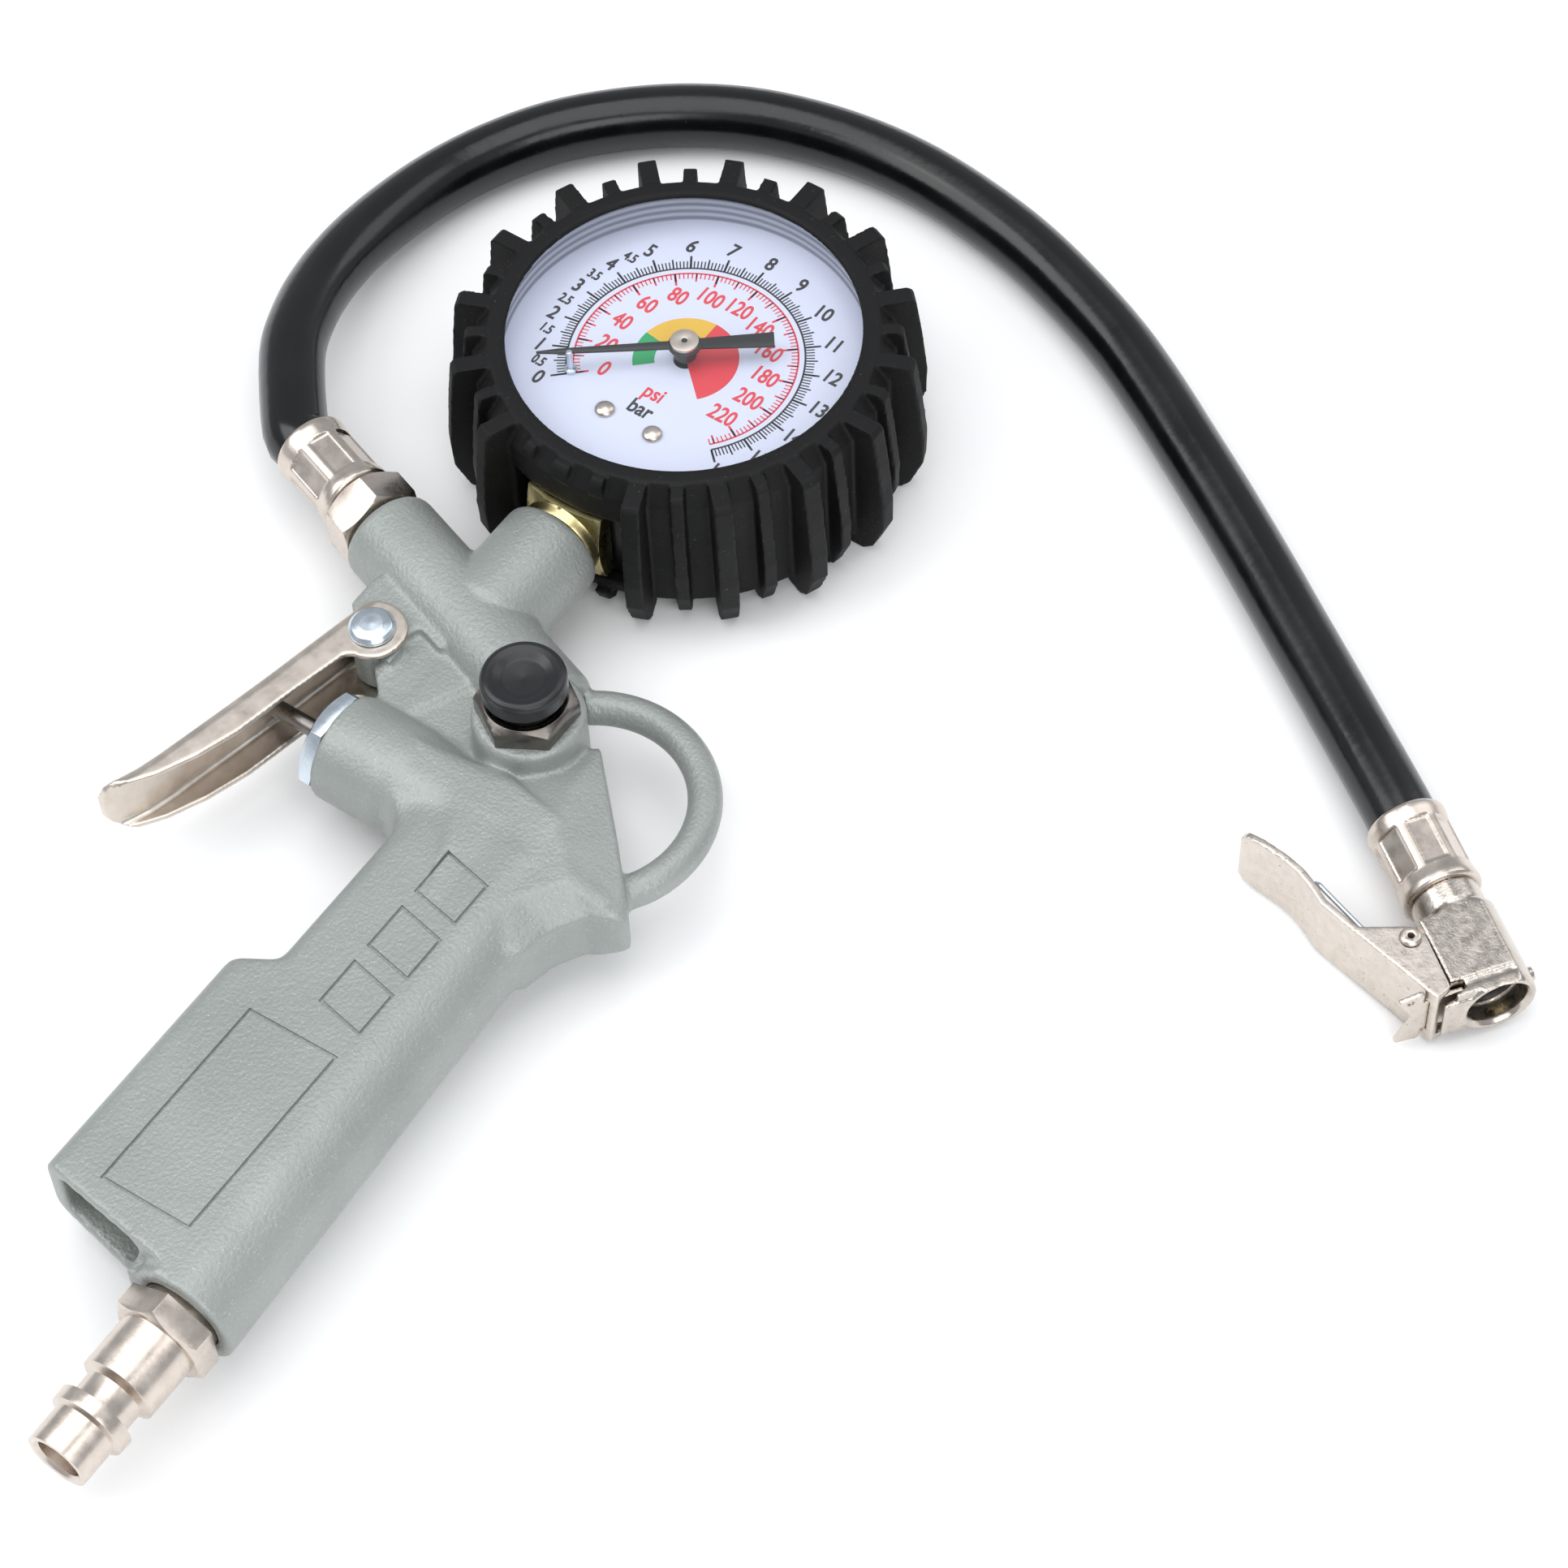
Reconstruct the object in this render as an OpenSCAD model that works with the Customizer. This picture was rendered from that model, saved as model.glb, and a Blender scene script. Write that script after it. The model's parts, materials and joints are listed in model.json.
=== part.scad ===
// Portable tire inflator: a cast pistol grip with a trigger valve, a dial gauge in a
// ribbed rubber boot, and a hose that ends in a lever-locked air chuck.
// It lies flat: +X runs from the inlet tip to the head, +Y is the trigger side and
// +Z is the dial side. The inlet axis is y = 0 and the middle of the gun is z = 0.

/* [Inlet and grip] */
// Length of the inlet nipple outside the grip
inlet_len = 27; // [25:0.5:32]
// Diameter of the nipple's tip
tip_d = 10; // [9:0.1:10.5]
// Width across the flats of the nipple's hexagon
nipple_hex = 14; // [13:0.5:15]
// Length of the grip from its end face to the valve axis
grip_len = 89.5; // [80:0.5:110]
// Reach of the grip from the inlet axis to its front edge
grip_front = 29.2; // [27:0.2:32]
// Reach of the narrow part of the grip beside the valve
grip_neck = 22.7; // [20:0.2:25]
// Half thickness of the grip at its round back
grip_r = 8.9; // [8.4:0.1:9.4]
// Half thickness of the grip at its front edge
grip_edge = 6.3; // [5.5:0.1:7]
// Depth of the open pocket in the grip's end
pocket_depth = 28; // [15:1:36]
// Rise of the grip's back on its way to the head
back_rise = 3.3; // [2:0.1:5]

/* [Head] */
// Diameter of the valve boss
boss_d = 17.4; // [16.5:0.1:19]
// Reach of the valve boss from the inlet axis
boss_end = 41; // [40:0.5:42]
// Width across the flats of the valve plug's hexagon
plug_hex = 15; // [13:0.5:16]
// Distance along the gun from the valve to the trigger's pivot
pivot_x = 16.8; // [15:0.2:18]
// Height of the trigger's pivot over the inlet axis
pivot_y = 47.8; // [47:0.2:50]
// Height of the gauge's axis over the inlet axis
gauge_y = 37.3; // [36:0.1:38]
// Diameter of the tube that carries the gauge
gauge_tube_d = 17; // [15:0.2:17.4]
// Diameter of the tube that carries the hose
hose_tube_d = 16; // [15:0.2:18]
// Angle of the hose tube to the grip
hose_tube_angle = 71.5; // [68:0.5:75]
// Thickness of the web between the tubes
web_t = 7; // [5:0.5:8]
// Radius of the hanging loop's centre line
loop_r = 17.5; // [16:0.5:20]
// Thickness of the hanging loop's rod
loop_d = 5.4; // [4.5:0.1:6.5]

/* [Trigger and button] */
// Width of the trigger's channel
lever_w = 12.2; // [11.5:0.1:14]
// Thickness of the trigger's sheet
lever_sheet = 1; // [0.8:0.1:1.2]
// Diameter of the valve's push pin
pin_d = 2.8; // [2.4:0.1:3.4]
// Diameter of the release button's cap
button_d = 13.2; // [12:0.2:14]
// Travel of the release button
button_travel = 1.8; // [1.2:0.1:2]

/* [Gauge] */
// Distance along the gun from the valve to the dial's centre
gauge_x = 85; // [84.5:0.1:86]
// Width of the boot's lip from its wall to the opening
lip_w = 5; // [4.6:0.1:6]
// Radius of the boot's wall
boot_r = 33.2; // [33:0.1:34]
// Height of the dial's face over the middle of the gun
dial_z = 9; // [8.6:0.1:9.4]
// Number of ribs round the boot
rib_count = 32; // [24:4:36]
// Width of a broad rib
broad_rib = 3; // [2.4:0.1:3.6]
// Width of a narrow rib
narrow_rib = 2.2; // [1.6:0.1:2.8]
// Reach of a broad rib over the boot's wall
rib_reach = 5.6; // [4.5:0.1:6]

/* [Hose and chuck] */
// Outer diameter of the hose
hose_d = 10.8; // [10:0.1:11]
// Diameter of the crimped ferrules
ferrule_d = 12.7; // [12.4:0.1:13]
// Diameter of the chuck's mouth
mouth_d = 9.3; // [8.8:0.1:9.6]
// Thickness of the chuck lever's sheet
claw_sheet = 1.2; // [1:0.1:1.4]

/* [Hidden] */
$fn = 48;
eps = 0.01;
fit = 0.1;                       // gap between still pieces that slide into one another
run = 0.3;                       // gap between pieces that turn or slide
head_x = inlet_len + grip_len;   // valve axis
grip_end = grip_len - 8;         // where the grip runs into the head
floor_z = -13.5;                 // the surface that the part lies on

// grip
front_round = 3;                 // corner radius of the grip's front edge
face_lean = asin((grip_r - grip_edge) / grip_front);
neck_back = 42.5;                // from the valve back to the end of the deep part
neck_slant = 4.8;
end_slant = 3.3;                 // lean of the pocket's end face
boss_stand = 2.7;                // how far the inlet boss stands out from the pocket's end
pocket_wall = 1.7;
pocket_y = [9.6, grip_front - 3];
groove_w = 0.7;
groove_deep = 0.45;

// inlet
inlet_bore = 7.2;
thread_d = 12.6;
thread_len = 11;
passage_d = 4.6;

// valve
plug_t = 2.7;                    // thickness of the plug's hexagon
plug_d = 11;
column_half = 8.3;               // half thickness of the squared column under the boss
column_flat = [[33, 2.7], [30.4, 2.9], [13.2, 5.4], [2, 3.4]]; // height and where its flat face ends
column_side = [2.3, 3.5];        // where the column's slanted side ends, from the flat face's end
boss_from = 29;
boss_fillet = 5.5;
plug_len = 20;                   // length of the plug's body inside the boss
chamber_d = 9.4;
chamber_end = 7;
poppet_d = 8;
poppet_t = 2.4;
seat_y = boss_end - plug_len;    // lower face of the plug, where the seal seats

// button
button_at = [15.1, 16.4];
button_boss_d = 17.6;
button_boss_z = 10.6;
nut_hex = 14;
nut_t = 4;
nut_chamfer = 1.2;
nut_recess = [11.8, 2.4];        // width and depth of the recess for the spring
nut_top = button_boss_z + nut_t;
cap_z = nut_top + button_travel + 0.2;
cap_t = 3.4;
release_bore = 9;
release_depth = 15;
release_stem_d = 4;

// tubes
tube_dir = [cos(hose_tube_angle), sin(hose_tube_angle)];
hose_tube_tip = [36.1, 60.6];
hose_tube_len = 46;
gauge_tube_tip = 48.9;
gauge_tube_start = 29;
tube_rim = 1;

// loop and pivot
loop_at = [12.3, 3.8];
loop_from = -127;
loop_to = 38;
rivet_d = 4;
rivet_head = 7.4;
eye_r = 5.45;
post_d = 7;
lever_in = lever_w / 2 - lever_sheet;
cheek = lever_in - run;          // half thickness of the cast pivot post
web_slope = 11.45;               // slope of the trigger's web over the push pin
web_over_pin = 56.7;             // height of the web's top where the pin meets it
stem_top = web_over_pin - (lever_sheet + 0.15) / cos(web_slope)
    - pin_d / 2 * (1 / cos(web_slope) - 1);

// gauge
case_r = boot_r - 2.6;
case_wall = 1;
case_back = -9.5;
window_z = dial_z + 4.9;
window_t = 1.5;
lip_z = window_z + window_t;
lip_t = 1;
lip_r = boot_r - lip_w;
lip_top = lip_z + lip_t;
chamfer_r = boot_r - 2.2;
narrow_cut = 2.4;                // how much less a narrow rib reaches out
wall_back = -11;
boot_window = [21.6, 16];        // width and height of the opening for the stem
stem_hex = 14;
socket_d = 10;
dial_t = 1;
shaft_d = 1.4;
pinion_r = 1.7;
sector_at = [0, -14];
sector_r = -sector_at.y - pinion_r - run;
sector_pin = 5.2;                // from the sector's axis to the link's pin
tube_r = case_r - 8.6;           // Bourdon tube's centre line
tube_t = 2.4;
tube_from = 180 + asin((stem_hex / 2 + run) / (tube_r - tube_t / 2));
tube_to = 426;
link_len = sqrt(pow(tube_r - tube_t / 2 - run, 2) - pow(sector_pin + 2.8, 2)) - sector_at.y;
screw_at = [-15.5, 4.6];
pointer_rest = 127.4;
pin_angle = 130.8;
pin_r = 18.3;

// hose and chuck
fitting_hex = 13.5;
fitting_gap = 1;
fitting_t = 6;
ferrule_len = 14.5;
neck_gap = 0.8;
chuck_z = -6.5;
chuck_turn = 234;
chuck_at = [80.8, -97.9];
mouth_s = 34.4;
mouth_floor = mouth_s - 3.7;
chuck_bore = mouth_d - 0.5;      // chamber of the seal behind the mouth
chuck_flat = 5.2;                // height of the chuck's flat face over its axis
claw_x = 31.4;
claw_t = 0.8;
claw_half = 3.6;
chuck_pivot = [22.6, 9.5];
chuck_half = 6.2;                // half width of the chuck's lever
core_d = 5.2;
ear_gap = chuck_half - claw_sheet - run; // half width that the lever's ears leave free
spring_r = 2.2;
spring_wire = 0.9;
lug_half = 1.9;                  // half width of the lug that carries the chuck's rivet

sage = [0.56, 0.62, 0.59];
nickel = [0.85, 0.81, 0.78];
steel = [0.72, 0.74, 0.76];
brass = [0.84, 0.72, 0.38];
black = [0.09, 0.09, 0.1];

// ---------- helpers ----------

function unit(v) = v / norm(v);
function xy(p) = [p.x, p.y];

// arc of radius r that rounds the corner b between a and c
function corner(a, b, c, r, n) =
    let (u = unit(a - b), w = unit(c - b), half = acos(u * w) / 2,
         m = b + unit(u + w) * r / sin(half),
         p = b + u * r / tan(half) - m, q = b + w * r / tan(half) - m,
         a0 = atan2(p.y, p.x), turn = (atan2(q.y, q.x) - a0 + 540) % 360 - 180)
    [for (i = [0:n]) m + r * [cos(a0 + turn * i / n), sin(a0 + turn * i / n)]];

// outline through points [x, y, corner radius]
function rounded(p, n = 6) = [for (i = [0:len(p) - 1])
    each p[i].z == 0 ? [xy(p[i])] :
        corner(xy(p[(i + len(p) - 1) % len(p)]), xy(p[i]), xy(p[(i + 1) % len(p)]), p[i].z, n)];

// one point of the smooth curve through p[i - 1], p[i], p[i + 1] and p[i + 2]
function spline_at(p, i, t) =
    let (n = len(p) - 1, a = p[max(i - 1, 0)], b = p[i], c = p[i + 1], d = p[min(i + 2, n)])
    0.5 * (2 * b + (c - a) * t + (2 * a - 5 * b + 4 * c - d) * t * t
        + (3 * b - a - 3 * c + d) * t * t * t);
function spline(p, n) = [for (i = [0:len(p) - 2]) for (k = [0:n - 1]) spline_at(p, i, k / n),
    p[len(p) - 1]];

// rings of a round rod of radius r along a path of 3-D points
function ring(c, d, r, sides) =
    let (up = abs(unit(d).z) > 0.9 ? [1, 0, 0] : [0, 0, 1], s = unit(cross(d, up)),
         w = unit(cross(s, d)))
    [for (k = [0:sides - 1]) c + r * (cos(360 * k / sides) * s + sin(360 * k / sides) * w)];
function rings(path, r, sides) = [for (i = [0:len(path) - 1])
    ring(path[i], path[min(i + 1, len(path) - 1)] - path[max(i - 1, 0)], r, sides)];

// closed skin over a list of rings with the same number of points
module skin(rows) {
    m = len(rows[0]);
    n = len(rows);
    polyhedron(
        points = [for (row = rows) each row],
        faces = [
            [for (k = [0:m - 1]) k],
            [for (k = [0:m - 1]) n * m - 1 - k],
            for (i = [0:n - 2]) for (k = [0:m - 1])
                [i * m + k, (i + 1) * m + k, (i + 1) * m + (k + 1) % m, i * m + (k + 1) % m]]);
}

module rod(path, r, sides = 8) skin(rings(path, r, sides));

module coil(r, wire, length, turns, sides = 6) {
    steps = 14;
    rod([for (i = [0:turns * steps])
        [r * cos(360 * i / steps), r * sin(360 * i / steps),
         wire / 2 + (length - wire) * i / (turns * steps)]], wire / 2, sides);
}

module at_head() translate([head_x, 0, 0]) children();
module at_gauge() translate([head_x + gauge_x, gauge_y, 0]) children();
module at_pivot() translate([head_x + pivot_x, pivot_y, 0]) children();
module at_button() translate([head_x + button_at.x, button_at.y, 0]) children();
module at_hose_tube() translate([head_x + hose_tube_tip.x, hose_tube_tip.y, 0])
    rotate([0, 0, hose_tube_angle]) children();
// chuck frame: x runs from the hose to the mouth, y points to the lever
module at_chuck() translate([head_x + chuck_at.x, chuck_at.y, chuck_z])
    rotate([0, 0, chuck_turn]) mirror([0, 1, 0]) children();
module along_x(d, from, to) translate([from, 0, 0]) rotate([0, 90, 0]) cylinder(d = d, h = to - from);
module along_y(d, from, to) translate([0, from, 0]) rotate([-90, 0, 0]) cylinder(d = d, h = to - from);
module hexagon_x(flats, from, to) translate([from, 0, 0]) rotate([0, 90, 0])
    cylinder(d = flats / cos(30), h = to - from, $fn = 6);
// solid of revolution about x, from a profile of [x, radius] points
module turned_x(profile) rotate([0, 90, 0]) rotate_extrude() polygon([for (p = profile) [p.y, p.x]]);
module slab(outline, half) translate([0, 0, -half]) linear_extrude(2 * half) polygon(outline);

// ---------- cast body ----------

function face_z(y) = (grip_r - y * sin(face_lean)) / cos(face_lean);
function arc(c, r, from, to, n) = [for (i = [0:n])
    let (a = from + (to - from) * i / n) c + r * [cos(a), sin(a)]];

// outline of the grip across its length: a round back, two leaning faces, a rounded front
function grip_section(x, front) =
    let (back = back_rise * (x - inlet_len) / grip_end,
         c = [front - front_round, face_z(front - front_round) - front_round / cos(face_lean)],
         half = 90 - face_lean)
    [for (p = concat(arc(c, front_round, 0, half, 5),
            arc([back, 0], grip_r - back * sin(face_lean), half, 360 - half, 18),
            arc([c.x, -c.y], front_round, 360 - half, 360, 5)))
        [x, p.x, p.y]];

// the grip's stations: distance along the gun and reach of its front edge
function grip_stations() =
    let (neck = head_x - neck_back)
    [[inlet_len, grip_front], [neck, grip_front], [neck + 0.8, grip_front - 0.25],
        [neck + 1.5, grip_front - 1], [neck + neck_slant - 0.9, grip_neck + 1],
        [neck + neck_slant, grip_neck + 0.25], [neck + neck_slant + 1.2, grip_neck],
        [head_x - 4, grip_neck]];

// what the inlet boss stands out from: the pocket's end face leans back
module end_relief() difference() {
    slab([[inlet_len - 1, 4], [inlet_len + boss_stand - 0.5, 4], [inlet_len + boss_stand, 7.3],
        [inlet_len + boss_stand + end_slant + 0.6, grip_front + 2], [inlet_len - 1, grip_front + 2]], 2 * grip_r);
    along_x(2 * grip_r - 0.6, inlet_len - 2, inlet_len + 10);
}

module grip() {
    difference() {
        skin([for (p = grip_stations()) grip_section(p[0], p[1])]);
        end_relief();
    }
    translate([inlet_len + 1.4, grip_r + 0.4, 0])
        cube([3, 3.4, 7], center = true);
}

module grip_pocket() {
    from = inlet_len - 1;
    lip = pocket_wall + 0.4;
    translate([from, 0, 0])
        rotate([90, 0, 90])
            linear_extrude(pocket_depth + 4)
                polygon(rounded([
                    [pocket_y[0], -face_z(pocket_y[0]) + pocket_wall, 1.5],
                    [pocket_y[1], -face_z(pocket_y[1]) + lip, 1.5],
                    [pocket_y[1], face_z(pocket_y[1]) - lip, 1.5],
                    [pocket_y[0], face_z(pocket_y[0]) - pocket_wall, 1.5]]));
}

// shallow outlines on the grip's dial face, turned with the face's slope
module face_groove(outline, inner) {
    rotate([-face_lean, 0, 0])
        translate([0, 0, grip_r - groove_deep])
            linear_extrude(groove_deep + 1)
                difference() {
                    polygon(outline);
                    polygon(inner);
                }
}

module grip_grooves() {
    w = groove_w;
    plate = [inlet_len + 8.2, 2.9, head_x - 47.5, 19.5];
    face_groove(
        rounded([[plate[0], plate[1], 0.8], [plate[2], plate[1], 0.8],
            [plate[2], plate[3], 0.8], [plate[0], plate[3], 0.8]], 3),
        [[plate[0] + w, plate[1] + w], [plate[2] - w, plate[1] + w],
            [plate[2] - w, plate[3] - w], [plate[0] + w, plate[3] - w]]);
    for (i = [0:2])
        translate([head_x - neck_back + 11.3 * i, 0])
            face_groove([[0, 3], [8.4, 3], [10.4, 12.1], [1.9, 12.1]],
                [[w + 0.1, 3 + w], [8.3 - w, 3 + w], [10.1 - w, 12.1 - w], [2 + w, 12.1 - w]]);
}

// the web that joins valve, button and tubes, with a thicker panel at the trigger's side
module web() {
    slab(rounded([[-7, 36, 0], [-7, 4, 0], [-1, -9, 0], [20.4, 10.6, 0], [36, 45, 0], [21, 45, 4]], 5),
        web_t / 2 - 0.5);
    slab([[6, 36.1], [15.6, 31.4], [22, 28.3], [36, 40], [27, 44.6], [pivot_x - 4.2, 44.6], [6, 38]],
        web_t / 2);
}

// section of the column: round towards the grip, flat faces, slanted sides towards the web
function column_section(y, flat) =
    let (r = boss_d / 2 - 0.15, a = acos(-sqrt(1 - pow(column_half / r, 2))))
    [for (p = concat([[flat, column_half]], arc([0, 0], r, a, 360 - a, 12), [[flat, -column_half],
        [flat + column_side.x, -column_side.y], [flat + column_side.x, column_side.y]]))
        [p.x, y, p.y]];

module valve_column() {
    along_y(boss_d, boss_from, boss_end);
    skin([for (p = column_flat) column_section(p.x, p.y)]);
}

// hollow round between the valve boss and the narrow part of the grip
module boss_root() {
    r = boss_d / 2 - 0.3;
    intersection() {
        rotate([-90, 0, 0])
            rotate_extrude()
                polygon(concat([[0, grip_neck - 3], [0, boss_from + 1], [r, boss_from + 1]],
                    arc([r + boss_fillet, grip_neck + boss_fillet - 0.4], boss_fillet, 180, 270, 6),
                    [[r + boss_fillet, grip_neck - 3]]));
        slab([[-18, 10], [-2, 10], [-2, 35], [-18, 35]], grip_edge + 0.2);
    }
}

// tube along x from a sloping start inside the casting to a rounded rim
module tube_x(d, from, to) turned_x([[from, 0], [from, d / 2 - 1], [from + 2, d / 2], [to - tube_rim, d / 2],
    [to - tube_rim * 0.3, d / 2 - tube_rim * 0.3], [to, d / 2 - tube_rim], [to, 0]]);

module hanging_loop() {
    translate([loop_at.x, loop_at.y, 0])
        rotate([0, 0, loop_from])
            rotate_extrude(angle = loop_to - loop_from)
                translate([loop_r, 0])
                    circle(d = loop_d);
}

module pivot_block() {
    slab(rounded([[pivot_x + 2.7, pivot_y + 6.6, 1], [pivot_x + 9.7, pivot_y + 6.7, 1],
        [pivot_x + 7, gauge_y, 0], [pivot_x - 5, gauge_y, 0], [pivot_x - 3.1, pivot_y - 5, 0]]), cheek);
    translate([pivot_x, pivot_y, 0])
        cylinder(d = post_d, h = 2 * cheek, center = true);
}

// the head's back: a flat face in line with the grip that slopes to a thin edge and a spur
function back_outer() = [[12, 16], [18.9, 6.1], [7.2, -5.5], [-3.4, -15.4], [-4.6, -14.6], [-7.3, -10],
    [-11.5, -7.4], [-18, -6.3], [-18, 10], [-2, 18], [7.7, 15.9]];
function back_inner() = [[2.6, 4.6], [3.2, 2.9], [0, -1], [-3.9, -5.2], [-5, -5.4], [-8, -3.6],
    [-11.5, -1], [-18, 1], [-18, 10], [-2, 18], [2.2, 6]];
module head_back() {
    full = column_half - 0.1;
    edge = web_t * 0.7;
    skin([for (z = [full, edge, -edge, -full])
        [for (p = abs(z) == full ? back_inner() : back_outer()) [p.x, p.y, z]]]);
}

module body_bores() {
    along_x(thread_d, inlet_len - 1, inlet_len + thread_len);
    translate([inlet_len, 0, 0])
        rotate([0, 90, atan(back_rise / grip_end)])
            cylinder(d = passage_d, h = grip_len + 2);
    at_head() {
        along_y(plug_d, seat_y - fit, boss_end + 1);
        along_y(chamber_d, chamber_end, boss_end);
        along_y(passage_d, 1, chamber_end + 1);
        translate([0, gauge_y, 0]) {
            along_x(passage_d, 4, gauge_tube_tip);
            along_x(thread_d - 3, gauge_tube_tip - 10, gauge_tube_tip + 1);
        }
        translate([pivot_x, pivot_y, -lever_w])
            cylinder(d = rivet_d, h = 2 * lever_w);
        translate([button_at.x, button_at.y, 0])
            rotate([0, 0, 56.7])
                along_x(passage_d - 1, 0, 24.5);
    }
    at_hose_tube() {
        along_x(thread_d - 3, -10, 1);
        along_x(passage_d, -25, 0);
    }
    at_button()
        translate([0, 0, button_boss_z - release_depth])
            cylinder(d = release_bore, h = release_depth + 1);
}

module body_casting() color(sage) difference() {
    union() {
        grip();
        at_head() {
            valve_column();
            boss_root();
            web();
            head_back();
            translate([0, gauge_y, 0])
                tube_x(gauge_tube_d, gauge_tube_start, gauge_tube_tip);
            hanging_loop();
            pivot_block();
        }
        at_hose_tube()
            tube_x(hose_tube_d, -hose_tube_len, 0);
        at_button()
            rotate_extrude()
                polygon([[0, 1 - button_boss_z], [button_boss_d / 2, 1 - button_boss_z],
                    [button_boss_d / 2, button_boss_z - 0.6], [button_boss_d / 2 - 0.2, button_boss_z - 0.2],
                    [button_boss_d / 2 - 0.6, button_boss_z], [0, button_boss_z]]);
    }
    grip_pocket();
    grip_grooves();
    body_bores();
}

// ---------- inlet ----------

module inlet_nipple() color(nickel) difference() {
    union() {
        turned_x([[0, 0], [0, tip_d / 2], [6, tip_d / 2],
            [6.4, 6], [8.6, 6.1], [9, 4.6], [12.4, 4.6], [13.2, 6], [inlet_len - 5.2, 6],
            [inlet_len - 5.2, 0]]);
        intersection() {
            hexagon_x(nipple_hex, inlet_len - 5.2, inlet_len - 1);
            turned_x([[inlet_len - 5.2, 0], [inlet_len - 5.2, nipple_hex / 2],
                [inlet_len - 4.4, nipple_hex * 0.58], [inlet_len, nipple_hex * 0.58], [inlet_len, 0]]);
        }
        along_x(thread_d - 2 * fit, inlet_len - 2, inlet_len + thread_len - fit);
    }
    along_x(inlet_bore - 2, -1, inlet_len + thread_len);
    turned_x([[-eps, 0], [-eps, inlet_bore / 2 + 0.5], [0.5, inlet_bore / 2], [4, inlet_bore / 2], [5, 0]]);
}

module nipple_seal() color(black) difference() {
    along_x(nipple_hex - 0.6, inlet_len - 1, inlet_len);
    along_x(thread_d, inlet_len - 2, inlet_len + 1);
}

// ---------- valve and trigger ----------

module valve_plug() color(steel) at_head() difference() {
    union() {
        intersection() {
            translate([0, boss_end, 0])
                rotate([-90, 0, 0])
                    cylinder(d = plug_hex / cos(30), h = plug_t, $fn = 6);
            translate([0, boss_end, 0])
                rotate([-90, 0, 0])
                    rotate_extrude()
                        polygon([[0, 0], [plug_hex * 0.58, 0], [plug_hex * 0.58, plug_t - 0.8],
                            [plug_hex * 0.5, plug_t], [0, plug_t]]);
        }
        along_y(plug_d - 2 * fit, seat_y, boss_end + 1);
    }
    along_y(pin_d + 2 * run, boss_end - 6, boss_end + plug_t + 1);
    along_y(6, seat_y - 1, boss_end - 4);
    translate([0, gauge_y, 0])
        along_x(passage_d, 0, plug_d);
}

module valve_stem() color(steel) at_head() {
    along_y(pin_d, seat_y + 2, stem_top - pin_d / 2);
    translate([0, stem_top - pin_d / 2, 0])
        sphere(d = pin_d);
    along_y(pin_d - 0.6, seat_y - 5, seat_y + 3);
    along_y(poppet_d - 2, seat_y - 5, seat_y - 3);
}

module valve_poppet() color(black) at_head() difference() {
    along_y(poppet_d, seat_y - 3, seat_y - 3 + poppet_t);
    along_y(pin_d - 0.6, seat_y - 4, seat_y + 1);
}

module valve_spring() color(steel) at_head()
    translate([0, chamber_end, 0])
        rotate([-90, 0, 0])
            coil(2.6, 0.8, seat_y - 5 - chamber_end, 5);

// outer line of the trigger's web from the pivot to the flared tip
web_line = [[pivot_x + 7, 51.85], [pivot_x + 0.5, 53.2], [pivot_x + 0.4, 53.22], [12, 54.3],
    [6, 55.5], [1, 56.5], [-5, 57.8], [-12, 59.4], [-19, 61], [-23, 62.1], [-26, 63.3],
    [-28.5, 64.6], [-30.6, 66.2], [-32, 67.6]];
web_start = 2;                   // first point of the line where the web is there
lever_reach = 29.3;              // from the valve axis to the trigger's rounded tip
fold_r = 1.8;

// side view of the trigger: lower edges of its cheeks, the eye, and all above them
function trigger_side() = concat(
    [[-36, 67.4], [-32.6, 66], [-30.2, 63.9], [-28.2, 62.4], [-25.5, 60.3], [-22.5, 58.2],
        [-16.5, 55.3], [-9.5, 52.9], [0.5, 50.8], [10.6, 48.4]],
    arc([pivot_x, pivot_y], eye_r, 185, 445, 24),
    [[pivot_x + 0.4, 60], [-36, 75]]);

// section across the web, in by one sheet for the inside: a deep plate with rounded edges
function channel_ring(p, n, inset, top) =
    let (w = lever_w / 2 - inset, r = fold_r - inset, depth = 16 + 2 * inset)
    [for (s = [[w, -depth], [w, -r], [w - 0.3 * r, -0.3 * r], [w - r, 0],
        [-w + r, 0], [-w + 0.3 * r, -0.3 * r], [-w, -r], [-w, -depth]])
        [p.x + n.x * (s.y + top), p.y + n.y * (s.y + top), s.x]];

module trigger_channel(inset) {
    last = len(web_line) - 1;
    skin([for (i = [0:last])
        let (t = unit(web_line[min(i + 1, last)] - web_line[max(i - 1, 0)]),
             over = i == 0 ? -inset : i == last ? inset : 0,
             top = inset > 0 && i < web_start ? 4 : -inset)
        channel_ring(web_line[i] + over * t, [t.y, -t.x], inset, top)]);
}

module trigger_lever() color(nickel) at_head() difference() {
    intersection() {
        difference() {
            trigger_channel(0);
            trigger_channel(lever_sheet);
        }
        slab(trigger_side(), lever_w);
        translate([0, pivot_y + 40, 0])
            rotate([90, 0, 0])
                linear_extrude(80)
                    polygon(rounded([[-lever_reach, -lever_w / 2 - 0.5, lever_w * 0.44],
                        [-lever_reach, lever_w / 2 + 0.5, lever_w * 0.44],
                        [2 * pivot_x, lever_w / 2 + 0.5, 0], [2 * pivot_x, -lever_w / 2 - 0.5, 0]]));
    }
    translate([pivot_x, pivot_y, -lever_w])
        cylinder(d = rivet_d + 2 * run, h = 2 * lever_w);
}

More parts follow.
